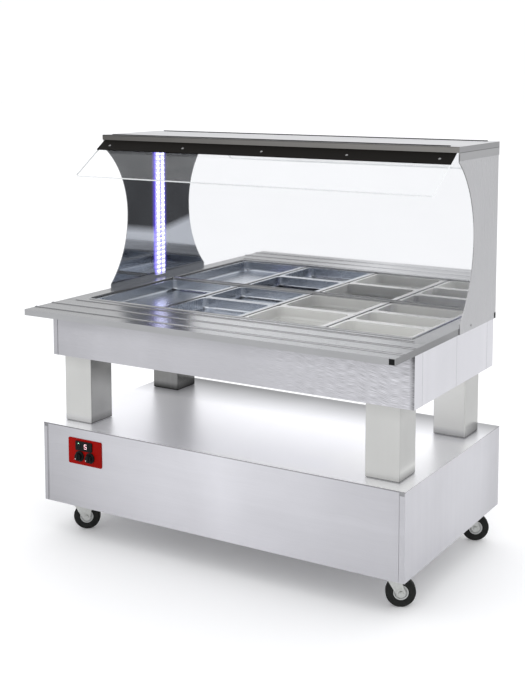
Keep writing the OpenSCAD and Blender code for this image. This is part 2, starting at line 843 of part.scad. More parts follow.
// Half of the hollow, above (up = 1) or below (up = 0) its deepest point
module half_hollow(depth, up) {
  r = (pow(hollow_half, 2) + pow(depth, 2)) / (2 * depth);
  intersection() {
    translate([hollow_y - r, hollow_z]) circle(r, $fn = arc_fn);
    translate([hollow_y - 2 * r, hollow_z - (1 - up) * r]) square([2 * r, r]);
  }
}

// Side panel: its front edge is hollow, and its top reaches further forward than its foot
module side_panel() {
  color(STEEL)
    along_x(worktop_x, panel_x)
      difference() {
        translate([head_y, lip_z]) square([panel_y1 - head_y, panel_h]);
        translate([head_y - 1, lip_z - 1]) square([head_reach + 1, hollow_z - lip_z + 1]);
        half_hollow(hollow, 0);
        half_hollow(hollow + head_reach, 1);
      }
}
module side_panel_right() { side_panel(); }
module side_panel_left() { mirror([1, 0, 0]) side_panel(); }

// Mirror-polished back panel with its edges folded to the rear
module mirror_panel() {
  z = [worktop_z, shelf_under];
  color([0.92, 0.94, 0.96])
    difference() {
      span([-worktop_x, worktop_x], [mirror_y, panel_y1], z);
      span([-worktop_x + sheet, worktop_x - sheet], [mirror_y + sheet, panel_y1 + 1],
           [z[0] + sheet, z[1] - sheet]);
    }
}

module light_strips() {
  color([0.93, 0.95, 1.0])
    both_ends()
      translate([worktop_x, mirror_y - led_w / 2 - 1, worktop_z + 10])
        linear_extrude(shelf_under - worktop_z - 12)
          translate([-led_t / 2, 0]) rounded_rect(led_t, led_w, led_t / 3);
}

function strip_y() = [shelf_y0 + 16, shelf_y1 - 16];
module edge_strip_outline() {
  rounded_rect(2 * (half_len - 38), strip_w, strip_w / 2 - eps);
}

module top_shelf() {
  z1 = shelf_z;
  color(STEEL)
    difference() {
      union() {
        difference() {
          span([-half_len, half_len], [shelf_y0, shelf_y1], [z1 - shelf_lip, z1]);
          span([-panel_x, panel_x], [shelf_y0 + sheet, shelf_y1 - sheet],
               [z1 - shelf_lip - 1, z1 - sheet]);
        }
        both_ends()
          span([panel_x, half_len], [head_y, shelf_y1], [z1 - shelf_end, z1]);
      }
      for (y = strip_y()) translate([0, y, z1 - sheet / 2])
        linear_extrude(sheet) edge_strip_outline();
    }
}

module shelf_edge_strips() {
  color(BLACK)
    for (y = strip_y()) translate([0, y, shelf_z - sheet / 2])
      linear_extrude(sheet / 2 + strip_h) edge_strip_outline();
}

// Places its child at distance s down the guard's slope, with Z square to the glass
module on_slope(s, x = 0) {
  translate([x, guard_y - s * cos(guard_angle), guard_z - s * sin(guard_angle)])
    rotate([guard_angle, 0, 0]) children();
}
screw_span = guard_w - 2 * screw_margin;
module each_guard_screw() {
  for (i = [0 : guard_screws_n - 1])
    on_slope(screw_at, -screw_span / 2 + i * screw_span / (guard_screws_n - 1)) children();
}

module guard_bracket() {
  up = 17;
  y1 = guard_y + bracket_t;
  tip = [guard_y - bracket_len * cos(guard_angle), guard_z - bracket_len * sin(guard_angle)];
  down = bracket_t * [sin(guard_angle), -cos(guard_angle)];
  inner_z = guard_z + bracket_t * tan(guard_angle) - bracket_t / cos(guard_angle);
  color(BLACK)
    difference() {
      along_x(-guard_w / 2 - 3, guard_w / 2 + 3)
        polygon([[guard_y, guard_z + up], [guard_y, guard_z], tip, tip + down,
                 [y1, inner_z], [y1, guard_z + up]]);
      each_guard_screw()
        cylinder(h = 4 * bracket_t, r = guard_screw_r + running_fit, center = true);
    }
}

module glass_guard() {
  r = 8;
  color([0.85, 0.92, 0.93, 0.35])
    difference() {
      on_slope(guard_top + guard_len / 2)
        translate([0, 0, -bracket_t - guard_t - eps]) linear_extrude(guard_t)
          rounded_rect(guard_w, guard_len, r);
      each_guard_screw()
        translate([0, 0, -bracket_t - guard_t - 1])
          cylinder(h = guard_t + 2, r = guard_screw_r + 0.4);
    }
}

module guard_screws() {
  head_r = 5.5;
  nut_h = 4;
  grip = bracket_t + guard_t + eps;
  color(BRIGHT)
    each_guard_screw() {
      intersection() {
        cylinder(h = 3, r = head_r);
        translate([0, 0, -4.5]) sphere(7.5);
      }
      translate([0, 0, -grip - nut_h]) cylinder(h = grip + nut_h + eps, r = guard_screw_r);
      translate([0, 0, -grip - nut_h]) cylinder(h = nut_h, r = head_r, $fn = 6);
    }
}

// ---------------------------------------------------------------- controls

// Places its child at x, z on the plinth's front, with Z pointing out of the panel
module on_front(x, z) {
  translate([x, plinth_y0, z]) rotate([90, 0, 0]) children();
}

module control_plate() {
  color([0.75, 0.09, 0.05])
    difference() {
      on_front(plate_cx, plate_z1 - plate_h / 2)
        linear_extrude(plate_t) rounded_rect(plate_w, plate_h, 6);
      on_front(bezel_cx, bezel_cz) translate([0, 0, -1])
        block(bezel[0] - 6, bezel[1] - 6, 0, plate_t + 2, r = 1);
      for (x = knob_x) on_front(x, knob_z) translate([0, 0, -1])
        cylinder(h = plate_t + 2, r = knob_shaft_r + running_fit);
    }
}

// Thermostat that snaps into the plate, and the two rotary switches behind it
module control_modules() {
  display = [44, 19];
  depth = 58;
  color(BLACK) {
    on_front(bezel_cx, bezel_cz)
      difference() {
        union() {
          block(bezel[0], bezel[1], plate_t, plate_t + 4, r = 3);
          block(bezel[0] - 7, bezel[1] - 7, -depth, plate_t, r = 1);
        }
        block(display[0], display[1], plate_t + 3.2, plate_t + 5, x = 8, r = 2);
      }
    for (x = knob_x) on_front(x, knob_z)
      difference() {
        block(switch_w, switch_w, -26, 0, r = 2);
        translate([0, 0, -14]) cylinder(h = 16, r = knob_shaft_r + running_fit);
      }
  }
}

module knob(x) {
  base = plate_t + part_gap;
  skirt_h = 5;
  grip_h = 17;
  grip_r = knob_d * 0.36;
  color(BLACK)
    on_front(x, knob_z)
      difference() {
        union() {
          translate([0, 0, base]) rotate_extrude()
            polygon([[0, 0], [knob_d / 2, 0], [knob_d / 2, skirt_h - 2], [knob_d / 2 - 2, skirt_h],
                     [grip_r + 1, skirt_h + 1], [grip_r, skirt_h + 2.5], [grip_r - 1, grip_h - 1.5],
                     [grip_r - 2.5, grip_h], [0, grip_h]]);
          block(knob_d * 0.22, 2 * grip_r - 4, base + grip_h - 1, base + grip_h + 3, r = 3);
          translate([0, 0, -12]) cylinder(h = 12 + base + 1, r = knob_shaft_r);
        }
        for (a = [0 : 15 : 359]) rotate([0, 0, a])
          translate([grip_r + 1.6, 0, base + skirt_h + 1.5]) cylinder(h = grip_h, r = 1.8, $fn = 16);
        rotate([0, 0, 135]) translate([0, knob_d / 2 - 4, base + skirt_h - 1])
          cylinder(h = 3, r = 1.8, $fn = 24);
      }
}
module knob_left() { knob(knob_x[0]); }
module knob_right() { knob(knob_x[1]); }

module light_driver() {
  l = 150;
  w = 46;
  h = 36;
  tab = 12;
  z = plinth_z0 + sheet;
  color([0.85, 0.86, 0.86])
    translate([driver_x, plinth_y0 + 120, 0])
      union() {
        block(l, w, z, z + h, r = 4);
        difference() {
          block(l + 2 * tab, w * 0.7, z, z + 3, r = 4);
          for (s = [-1, 1]) translate([s * (l / 2 + tab / 2), 0, z - 1]) cylinder(h = 5, r = 2.2);
        }
      }
}

module cable_gland() {
  nut_h = 6;
  bore = 4.5;
  color([0.15, 0.15, 0.15])
    translate([gland_x, service_y, gland_z]) rotate([-90, 0, 0])
      difference() {
        union() {
          translate([0, 0, sheet]) cylinder(h = nut_h, r = gland_r * 1.5, $fn = 6);
          translate([0, 0, sheet + nut_h]) rotate_extrude()
            polygon([[0, 0], [gland_r * 1.25, 0], [gland_r * 1.25, 6], [gland_r * 0.8, 13], [0, 13]]);
          translate([0, 0, -10]) cylinder(h = 10 + sheet + 1, r = gland_r);
          translate([0, 0, -nut_h]) cylinder(h = nut_h, r = gland_r * 1.4, $fn = 6);
        }
        translate([0, 0, -20]) cylinder(h = 60, r = bore);
      }
}

// ---------------------------------------------------------------- cooling set

module compressor() {
  r = pot_d / 2;
  dome = 45;
  dome_r = (pow(r, 2) + pow(dome, 2)) / (2 * dome);
  floor_z = plinth_z0 + sheet;
  foot = [190, 130];
  color(BLACK)
    translate([pot_x, pot_y, 0]) {
      union() {
        translate([0, 0, pot_z + 4]) cylinder(h = pot_h - dome - 4, r = r);
        translate([0, 0, pot_z + pot_h * 0.45]) cylinder(h = 5, r = r + 4);
        intersection() {
          translate([0, 0, pot_z + pot_h - dome_r]) sphere(dome_r, $fn = arc_fn);
          translate([0, 0, pot_z + 30]) cylinder(h = pot_h, r = r);
        }
        block(foot[0], foot[1], pot_z, pot_z + 4, r = 20);
        block(60, 34, pot_z + 50, pot_z + 108, y = -r - 8, r = 5);
        translate([0, 0, pot_z + pot_h - 10]) cylinder(h = 32, r = pipe_d);
      }
      for (sx = [-1, 1], sy = [-1, 1])
        translate([sx * (foot[0] / 2 - 16), sy * (foot[1] / 2 - 16), floor_z])
          cylinder(h = pot_z - floor_z, r = 11);
    }
}

// Finned coil with its shroud, and the fan motor on three arms
module condenser() {
  fins = floor(coil_w / fin_pitch);
  tube_rows = 5;
  shroud_d = 46;
  plate = 2;
  y0 = coil_y1 - coil_d;
  z1 = coil_z0 + coil_h;
  floor_z = plinth_z0 + sheet;
  half_w = coil_w / 2;
  arm = 7;
  motor_r = 34;
  color([0.75, 0.76, 0.78])
    union() {
      for (i = [1 : fins - 1])
        span([coil_x - half_w + i * fin_pitch, coil_x - half_w + i * fin_pitch + 0.8],
             [y0 + 8, coil_y1 - 1], [coil_z0 + 4, z1 - 4]);
      for (j = [0 : tube_rows - 1])
        translate([coil_x - half_w - plate / 2, y0 + coil_d / 2 + 3,
                   coil_z0 + (j + 0.5) * coil_h / tube_rows])
          rotate([0, 90, 0]) cylinder(h = coil_w + plate, r = 5, $fn = 24);
      for (s = [-1, 1])
        span([coil_x + s * half_w - (s < 0 ? plate : 0), coil_x + s * half_w + (s > 0 ? plate : 0)],
             [y0 - 6, coil_y1], [floor_z, z1]);
      difference() {
        span([coil_x - half_w - plate, coil_x + half_w + plate], [y0 - shroud_d, y0 + 5],
             [coil_z0, z1]);
        span([coil_x - half_w, coil_x + half_w], [y0 - shroud_d + plate, y0 + 6],
             [coil_z0 + plate, z1 - plate]);
        translate([coil_x, y0 - shroud_d - 1, fan_z])
          rotate([-90, 0, 0]) cylinder(h = plate + 2, r = fan_d / 2 + 6);
      }
      for (a = [0 : 120 : 359])
        translate([coil_x, y0 - shroud_d, fan_z]) rotate([0, a + 90, 0])
          translate([0, 1 - arm, -arm / 2]) cube([fan_d / 2 + 12, arm, arm]);
      translate([coil_x, y0 - shroud_d, fan_z]) rotate([90, 0, 0]) cylinder(h = 46, r = motor_r);
      translate([coil_x, y0 - 8, fan_z]) rotate([90, 0, 0]) cylinder(h = shroud_d, r = motor_shaft_r);
    }
}

module fan_rotor() {
  hub_r = 24;
  hub_l = 22;
  color([0.2, 0.2, 0.22])
    translate([coil_x, fan_y, fan_z]) rotate([90, 0, 0])
      difference() {
        union() {
          cylinder(h = hub_l, r = hub_r, center = true);
          intersection() {
            for (i = [0 : fan_blades - 1]) rotate([0, 0, i * 360 / fan_blades])
              rotate([28, 0, 0]) translate([0, -22, -1]) cube([fan_d / 2, 44, 2]);
            cylinder(h = 34, r = fan_d / 2 - 2, center = true);
          }
        }
        cylinder(h = 60, r = motor_shaft_r + running_fit, center = true);
      }
}

// ---------------------------------------------------------------- castors

function corner_pos(c) = [c[0] * castor_x, castor_y[c[1]], 0];

// Places its child at a castor, turned to where the wheel trails
module at_castor(c) {
  translate(corner_pos(c)) rotate([0, 0, castor_yaw]) children();
}

module each_castor_bolt() {
  for (c = CORNERS, sx = [-1, 1], sy = [-1, 1])
    translate(corner_pos(c) + [sx * castor_holes[0] / 2, sy * castor_holes[1] / 2, castor_h])
      children();
}

module castor_plates() {
  under = castor_h - castor_plate[2];
  color(ZINC)
    difference() {
      for (c = CORNERS) translate(corner_pos(c))
        difference() {
          union() {
            block(castor_plate[0], castor_plate[1], under, castor_h, r = 8);
            translate([0, 0, under]) rotate_extrude()
              polygon([[0, eps], [race_r, eps], [race_r, -race_h + 3], [race_r - 3, -race_h],
                       [0, -race_h]]);
          }
          translate([0, 0, under - race_h - 1])
            cylinder(h = race_h + castor_plate[2] + 2, r = swivel_r + running_fit);
        }
      each_castor_bolt() cylinder(h = 4 * castor_plate[2], r = castor_bolt_r + 0.2, center = true);
    }
}

module castor_bolts() {
  head_h = 4;
  nut_h = 6;
  color(ZINC)
    each_castor_bolt()
      union() {
        translate([0, 0, -castor_plate[2] - head_h]) cylinder(h = head_h, r = 7, $fn = 6);
        translate([0, 0, -castor_plate[2] - 1])
          cylinder(h = castor_plate[2] + sheet + nut_h + 1, r = castor_bolt_r);
        translate([0, 0, sheet]) cylinder(h = nut_h, r = 7, $fn = 6);
      }
}

// Outline of a fork's cheek, seen along the axle: X away from the swivel, Y up
module fork_cheek(braked) {
  union() {
    polygon([[-24, fork_z1 - fork_t], [24, fork_z1 - fork_t], [trail + fork_boss_r, axle_z + 4],
             [trail + fork_boss_r * 0.8, axle_z - 9], [trail - fork_boss_r * 0.8, axle_z - 9]]);
    translate([trail, axle_z]) circle(fork_boss_r);
    if (braked) {
      translate(pedal_pin) circle(7);
      polygon([[0, fork_z1 - fork_t], [pedal_pin[0], pedal_pin[1] + 7],
               [pedal_pin[0] + 5, pedal_pin[1] - 5], [trail + fork_boss_r, axle_z + 4],
               [0, axle_z + 20]]);
    }
  }
}

module castor_fork(c, braked) {
  crown = 2 * fork_half + 2 * fork_t;
  color(ZINC)
    at_castor(c) {
      difference() {
        union() {
          for (s = [-1, 1])
            translate([0, s * (fork_half + fork_t / 2) + fork_t / 2, 0])
              rotate([90, 0, 0]) linear_extrude(fork_t) fork_cheek(braked);
          block(54, crown, fork_z1 - fork_t, fork_z1, r = 3);
          translate([0, 0, fork_z1 - fork_t]) cylinder(h = fork_t, r = race_r);
          translate([0, 0, fork_z1 - fork_t])
            cylinder(h = castor_h - 0.3 - fork_z1 + fork_t, r = swivel_r);
        }
        translate([trail, 0, axle_z]) rotate([90, 0, 0])
          cylinder(h = 2 * crown, r = axle_r + running_fit, center = true);
        if (braked)
          translate([pedal_pin[0], 0, pedal_pin[1]]) rotate([90, 0, 0])
            cylinder(h = 2 * crown, r = pedal_pin_r + running_fit, center = true);
      }
      translate([trail, 0, axle_z]) rotate([90, 0, 0]) {
        cylinder(h = crown + 12, r = axle_r, center = true);
        for (s = [-1, 1]) translate([0, 0, s * (crown / 2 + 2.5)])
          cylinder(h = 5, r = 8.5, center = true, $fn = 6);
      }
    }
}
module castor_fork_fl() { castor_fork(CORNERS[0], true); }
module castor_fork_fr() { castor_fork(CORNERS[1], false); }
module castor_fork_rl() { castor_fork(CORNERS[2], true); }
module castor_fork_rr() { castor_fork(CORNERS[3], false); }

// Places its child on a wheel's axle, with Z along the axle
module on_axle(c) {
  at_castor(c) translate([trail, 0, axle_z]) rotate([90, 0, 0]) children();
}

module wheel_hub(c) {
  r = hub_d / 2;
  w = tyre_w / 2;
  bore = axle_r + running_fit;
  color(ZINC)
    on_axle(c) rotate_extrude()
      polygon([[bore, -w - 2.5], [11, -w - 2.5], [12, -w + 4], [r - 5, -w + 4], [r - 4, -w],
               [r, -w], [r, w], [r - 4, w], [r - 5, w - 4], [12, w - 4], [11, w + 2.5],
               [bore, w + 2.5]]);
}
module wheel_hub_fl() { wheel_hub(CORNERS[0]); }
module wheel_hub_fr() { wheel_hub(CORNERS[1]); }
module wheel_hub_rl() { wheel_hub(CORNERS[2]); }
module wheel_hub_rr() { wheel_hub(CORNERS[3]); }

module tyre(c) {
  r = wheel_d / 2;
  w = tyre_w / 2;
  shoulder = 6;
  color(BLACK)
    on_axle(c) rotate_extrude()
      union() {
        translate([hub_d / 2, -w]) square([r - shoulder - hub_d / 2, 2 * w]);
        translate([hub_d / 2, shoulder - w]) square([r - hub_d / 2, 2 * (w - shoulder)]);
        for (s = [-1, 1]) translate([r - shoulder, s * (w - shoulder)]) circle(shoulder, $fn = 32);
      }
}
module tyre_fl() { tyre(CORNERS[0]); }
module tyre_fr() { tyre(CORNERS[1]); }
module tyre_rl() { tyre(CORNERS[2]); }
module tyre_rr() { tyre(CORNERS[3]); }

// Pedal with its hinge pin; it turns down about the pin until its shoe meets the tyre
module brake_pedal(c) {
  w = 2 * fork_half - 1;
  t = 4;
  d = pedal_tip - pedal_pin;
  l = norm(d);
  pitch = atan2(d[1], d[0]);
  arm = [trail, axle_z] - pedal_pin;
  turned = atan2(arm[1], arm[0]) - (pitch - brake_turn);
  shoe_x = norm(arm) * cos(turned);
  shoe_z = norm(arm) * sin(turned) + wheel_d / 2 + part_gap;
  color(BLACK)
    at_castor(c)
      translate([pedal_pin[0], 0, pedal_pin[1]]) {
        rotate([90, 0, 0]) cylinder(h = 2 * fork_half + 2 * fork_t + 2, r = pedal_pin_r, center = true);
        rotate([0, -pitch, 0])
          union() {
            rotate([90, 0, 0]) cylinder(h = w, r = 6, center = true);
            block(l, w, 2, 2 + t, x = l / 2);
            block(12, tyre_w - 2, shoe_z, 3, x = shoe_x);
            block(18, w + 12, 2, 2 + t, x = l - 4, r = 5);
            for (i = [0 : 2]) block(2, w, 2 + t, 3.5 + t, x = l - 8 + 4 * i);
          }
      }
}
module brake_pedal_fl() { brake_pedal(CORNERS[0]); }
module brake_pedal_rl() { brake_pedal(CORNERS[2]); }

// ---------------------------------------------------------------- the assembly

plinth_deck();
plinth_front_panel();
plinth_side_left();
plinth_side_right();
plinth_service_panel();
plinth_floor();
front_legs();
rear_legs();
tank_front_panel();
tank_rear_panel();
tank_side_panels();
tank_underside();
tank_insulation();
well_liner();
cooling_circuit();
drain_pipe();
worktop();
pan_cross_bars();
pan_full();
pan_half_1();
pan_half_2();
pan_half_3();
pan_half_4();
pan_third_1();
pan_third_2();
pan_third_3();
side_panel_left();
side_panel_right();
mirror_panel();
light_strips();
top_shelf();
shelf_edge_strips();
guard_bracket();
glass_guard();
guard_screws();
control_plate();
control_modules();
knob_left();
knob_right();
compressor();
condenser();
fan_rotor();
light_driver();
cable_gland();
castor_plates();
castor_bolts();
castor_fork_fl();
castor_fork_fr();
castor_fork_rl();
castor_fork_rr();
wheel_hub_fl();
wheel_hub_fr();
wheel_hub_rl();
wheel_hub_rr();
tyre_fl();
tyre_fr();
tyre_rl();
tyre_rr();
brake_pedal_fl();
brake_pedal_rl();
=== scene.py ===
import math

import bpy
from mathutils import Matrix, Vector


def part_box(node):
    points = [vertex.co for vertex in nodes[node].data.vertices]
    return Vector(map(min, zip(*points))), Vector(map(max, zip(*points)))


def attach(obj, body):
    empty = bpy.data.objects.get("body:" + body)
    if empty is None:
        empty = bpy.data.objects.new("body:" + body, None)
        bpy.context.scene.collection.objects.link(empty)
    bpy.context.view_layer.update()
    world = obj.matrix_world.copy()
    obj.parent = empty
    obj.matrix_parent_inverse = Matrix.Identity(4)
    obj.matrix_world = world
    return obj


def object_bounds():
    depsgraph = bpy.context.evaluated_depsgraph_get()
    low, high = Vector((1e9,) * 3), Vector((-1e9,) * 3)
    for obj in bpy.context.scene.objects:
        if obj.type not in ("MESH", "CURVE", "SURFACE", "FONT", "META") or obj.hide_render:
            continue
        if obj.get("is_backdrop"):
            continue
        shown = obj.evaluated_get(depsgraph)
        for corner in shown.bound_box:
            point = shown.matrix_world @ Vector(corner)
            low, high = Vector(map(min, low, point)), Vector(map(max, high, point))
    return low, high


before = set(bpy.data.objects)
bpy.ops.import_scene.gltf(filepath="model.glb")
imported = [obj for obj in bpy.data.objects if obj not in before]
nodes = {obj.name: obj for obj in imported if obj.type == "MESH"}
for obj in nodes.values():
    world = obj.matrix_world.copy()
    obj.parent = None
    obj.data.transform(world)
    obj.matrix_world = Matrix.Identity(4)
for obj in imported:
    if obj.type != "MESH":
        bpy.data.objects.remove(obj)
cad_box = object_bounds()
mm = 0.001
X, Y, Z = range(3)

# Places that finishes and trim line up with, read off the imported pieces.
half_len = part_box("top_shelf")[1].x
deck_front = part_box("plinth_deck")[0].y
plinth_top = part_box("plinth_deck")[1].z
front_panel_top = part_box("plinth_front_panel")[1].z
leg_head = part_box("front_legs")[1].z
lip_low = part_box("worktop")[0].z
worktop_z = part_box("mirror_panel")[0].z
lip_middle = (lip_low + worktop_z) / 2
side_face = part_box("side_panel_right")[1].x
strip_low, strip_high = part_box("light_strips")
strip_y = (strip_low.y + strip_high.y) / 2
strip_thick = 6 * mm
display_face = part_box("control_modules")[0].y


# ---------------------------------------------------------------- shader bench

class Signal:
    """A node's output. Arithmetic on it adds Math nodes."""

    def __init__(self, bench, socket):
        self.bench, self.socket = bench, socket

    def maths(self, operation, *values, clamp=False):
        return self.bench.maths(operation, self, *values, clamp=clamp)

    def __add__(self, other):
        return self.maths("ADD", other)

    def __sub__(self, other):
        return self.maths("SUBTRACT", other)

    def __mul__(self, other):
        return self.maths("MULTIPLY", other)

    def __truediv__(self, other):
        return self.maths("DIVIDE", other)

    def __radd__(self, other):
        return self.bench.maths("ADD", other, self)

    def __rsub__(self, other):
        return self.bench.maths("SUBTRACT", other, self)

    def __rmul__(self, other):
        return self.bench.maths("MULTIPLY", other, self)

    def __abs__(self):
        return self.maths("ABSOLUTE")

    def above(self, edge, soft):
        """0 below edge - soft, 1 above edge + soft."""
        return self.maths("SUBTRACT", edge - soft).maths("DIVIDE", 2 * soft, clamp=True)

    def near(self, spot, reach):
        """1 at spot, falling evenly to 0 at reach to either side of it."""
        return (1 - abs(self - spot) / reach).maths("MAXIMUM", 0.0)

    def swing(self, width):
        """A noise from 0 to 1, made to swing about 0 over the width."""
        return (self - 0.5) * width


class Bench:
    """A node tree, and the one way its nodes are made."""

    def __init__(self, tree):
        self.tree = tree

    def node(self, kind, settings=None, sockets=None, out=0):
        made = self.tree.nodes.new(kind)
        for key, value in (settings or {}).items():
            setattr(made, key, value)
        for key, value in (sockets or {}).items():
            self.plug(made.inputs[key], value)
        return Signal(self, made.outputs[out])

    def plug(self, socket, value):
        if isinstance(value, Signal):
            self.tree.links.new(value.socket, socket)
        elif hasattr(value, "__len__"):
            socket.default_value = value[:len(socket.default_value)]
        else:
            socket.default_value = value

    def maths(self, operation, *values, clamp=False):
        return self.node("ShaderNodeMath", {"operation": operation, "use_clamp": clamp},
                         dict(enumerate(values)))

    def blend(self, mask, a, b):
        """Colour a where mask is 0, colour b where it is 1."""
        return self.node("ShaderNodeMix", {"data_type": "RGBA"}, {0: mask, 6: a, 7: b}, out=2)

    def shade(self, colour, tone):
        """The colour, lighter or darker by tone."""
        return self.node("ShaderNodeVectorMath", {"operation": "SCALE"}, {0: colour, "Scale": tone})

    def point(self, x, y, z):
        return self.node("ShaderNodeCombineXYZ", sockets={0: x, 1: y, 2: z})

    def axes(self, vector):
        split = self.tree.nodes.new("ShaderNodeSeparateXYZ")
        self.tree.links.new(vector.socket, split.inputs[0])
        return [Signal(self, s) for s in split.outputs]

    def noise(self, where, scale, detail=2.0, rough=0.5, twist=0.0):
        """Noise from 0 to 1, with the noise node's own settings."""
        return self.node("ShaderNodeTexNoise", {"normalize": True},
                         {"Vector": where, "Scale": scale, "Detail": detail, "Roughness": rough,
                          "Distortion": twist})


class Finish(Bench):
    """A material: its shader, and what varies over the surface."""

    def __init__(self, name, colour, **constants):
        self.material = bpy.data.materials.new(name)
        self.material.use_nodes = True
        super().__init__(self.material.node_tree)
        self.shader = self.tree.nodes["Principled BSDF"]
        self.where = self.node("ShaderNodeTexCoord", out="Object")
        self.x, self.y, self.z = self.axes(self.where)
        self.facing = self.axes(self.node("ShaderNodeTexCoord", out="Normal"))
        self.colour = tuple(colour) + (1.0,)
        self.set("Base Color", self.colour)
        for key, value in constants.items():
            self.set(key.replace("_", " ").title().replace("Ior", "IOR"), value)

    def set(self, socket, value):
        self.plug(self.shader.inputs[socket], value)

    def relief(self, height, strength, distance):
        self.set("Normal", self.node("ShaderNodeBump", sockets={
            "Strength": strength, "Distance": distance, "Height": height}, out="Normal"))

    def turned(self, axis, way=0, soft=0.1):
        """1 on faces turned along an axis, or with way 1 or -1 only on those turned that way."""
        along = self.facing[axis] * way if way else abs(self.facing[axis])
        return along.above(0.7, soft)

    def cells(self, scale):
        """Distance to the middle of the nearest cell."""
        return self.node("ShaderNodeTexVoronoi", {"feature": "F1"},
                         {"Vector": self.where, "Scale": scale}, out="Distance")

    def brushing(self, along, across, pitch=420, stretch=2.5):
        """Fine scratches that run along."""
        return self.noise(self.point(along * stretch, 0.0, across * pitch), 1.0, 3.0, 0.6)

    def sheet_relief(self, waviness, scratches, y_scale=1.6):
        """The slow waves of thin sheet, under its scratches."""
        wave = self.noise(self.point(self.x * 1.6, self.y * y_scale, self.z * 5), 1.0, 1.0, 0.4)
        self.relief(wave * waviness + scratches, 0.5, 4 * mm)


# ---------------------------------------------------------------- finishes

def rolled(name, tint, rough, grain, cloud=0.05):
    """Plain metal sheet: brushed along its length, cloudy, and smeared here and there."""
    f = Finish(name, tint, metallic=1.0)
    level = f.turned(Z)
    side = f.turned(X)
    across = f.z * (1 - level - side) + f.y * (level + side)
    along = f.x * (1 - side) + f.z * side
    fine = f.brushing(along, across)
    band = f.noise(f.point(along * 0.9, 0.0, across * 34), 1.0, 2.0, 0.5)
    clouds = f.noise(f.where, 2.6, 3.0, 0.55, 0.4)
    smear = f.noise(f.point(f.x * 3, f.y * 3, f.z * 9), 1.0, 4.0, 0.6, 1.2).above(0.62, 0.07) * 0.03
    tone = 1.0 + fine.swing(2 * grain) + band.swing(2 * grain) + clouds.swing(4 * cloud)
    f.set("Base Color", f.shade(f.colour, tone - smear))
    f.set("Roughness", rough + fine.swing(1.6 * grain) + clouds.swing(cloud) + smear)
    f.relief(fine * 0.02, 0.5, 4 * mm)
    return f


def worktop_finish():
    """The tray slide's sheet: half polished, with painted shade on its lip, its ends and its left,
    painted shade in the ribs' creases, and painted highlights on the rib crests and in the middle.
    """
    ribs = (-0.398, -0.306, -0.220)
    rib_half_w = 7.5 * mm
    painted_worktop_shade_x = -0.22
    painted_highlight_x = 0.1
    f = Finish("worktop sheet", (0.52, 0.522, 0.532), metallic=1.0)
    level = f.turned(Z, soft=0.2)
    side = f.turned(X)
    front = f.turned(Y)
    fine = f.brushing(f.x, f.y + f.z)
    band = f.noise(f.point(f.x * 0.8, 0.0, f.y * 55), 1.0, 3.0, 0.6)
    clouds = f.noise(f.where, 3.0, 3.0, 0.55, 0.4)
    to_rib = abs(f.y - ribs[0])
    for rib in ribs[1:]:
        to_rib = to_rib.maths("MINIMUM", abs(f.y - rib))
    # Painted shade in the ribs' creases, a painted highlight along their crests, painted shade on the
    # left and a painted reflection in the middle.
    painted_crease_shade = level * to_rib.near(rib_half_w, 3.33 * mm)
    painted_crest_highlight = level * to_rib.near(0.0, 3.03 * mm)
    left = level * (1 - f.x.above(painted_worktop_shade_x, 0.14))
    middle = level * f.x.near(painted_highlight_x, 0.625)
    # The front lip and the end faces are darkened as painted shade.
    tone = (1.0 + fine.swing(0.12) + band.swing(0.22) * level + clouds.swing(0.22)
            - front * 0.22 - side * 0.58 - painted_crease_shade * 0.75 + painted_crest_highlight * 0.35 - left * 0.48 + middle * 0.22)
    f.set("Base Color", f.shade(f.colour, tone))
    f.set("Roughness", 0.25 + fine.swing(0.07) + band.swing(0.06) + front * 0.08)
    f.sheet_relief(0.35, fine * 0.02, y_scale=4)
    return f


def deck_finish():
    """The lower shelf's bright sheet, with painted light: a painted reflection clear in the middle and
    brighter at the right and the front edge, painted shade at the back, the left and on its rim, and a
    faint painted glow on its top.
    """
    painted_deck_shade_back_y = 0.30
    painted_deck_shade_left_x = -0.35
    painted_deck_highlight_x = 0.50
    f = Finish("bright deck sheet", (0.86, 0.86, 0.885), metallic=1.0)
    flat = f.turned(Z)
    fine = f.brushing(f.x, f.y + f.z)
    clouds = f.noise(f.where, 2.2, 3.0, 0.55, 0.4)
    # Painted shade at the back and left; a painted reflection brighter at the right and along the front
    # edge.
    back = f.y.above(painted_deck_shade_back_y, 0.14)
    left = 1 - f.x.above(painted_deck_shade_left_x, 0.35)
    right = f.x.above(painted_deck_highlight_x, 0.12)
    edge = 1 - f.y.above(deck_front + 25 * mm, 0.04)
    tone = (1.12 + fine.swing(0.05) + clouds.swing(0.2)
            - back * 0.80 - left * 0.16 + right * 0.12 + edge * 0.1)
    # Faces that are not flat are darkened as painted shade on the rim.
    f.set("Base Color", f.shade(f.colour, tone * (0.3 + flat * 0.7)))
    f.set("Roughness", 0.36 + fine.swing(0.04) + clouds.swing(0.06))
    # The top glows faintly, less at the back: painted light, though the deck is no lamp.
    f.set("Emission Color", f.shade((0.95, 0.95, 1.0, 1), flat * (1.0 - back * 0.9)))
    f.set("Emission Strength", 0.20)
    f.sheet_relief(0.3, fine * 0.02)
    return f


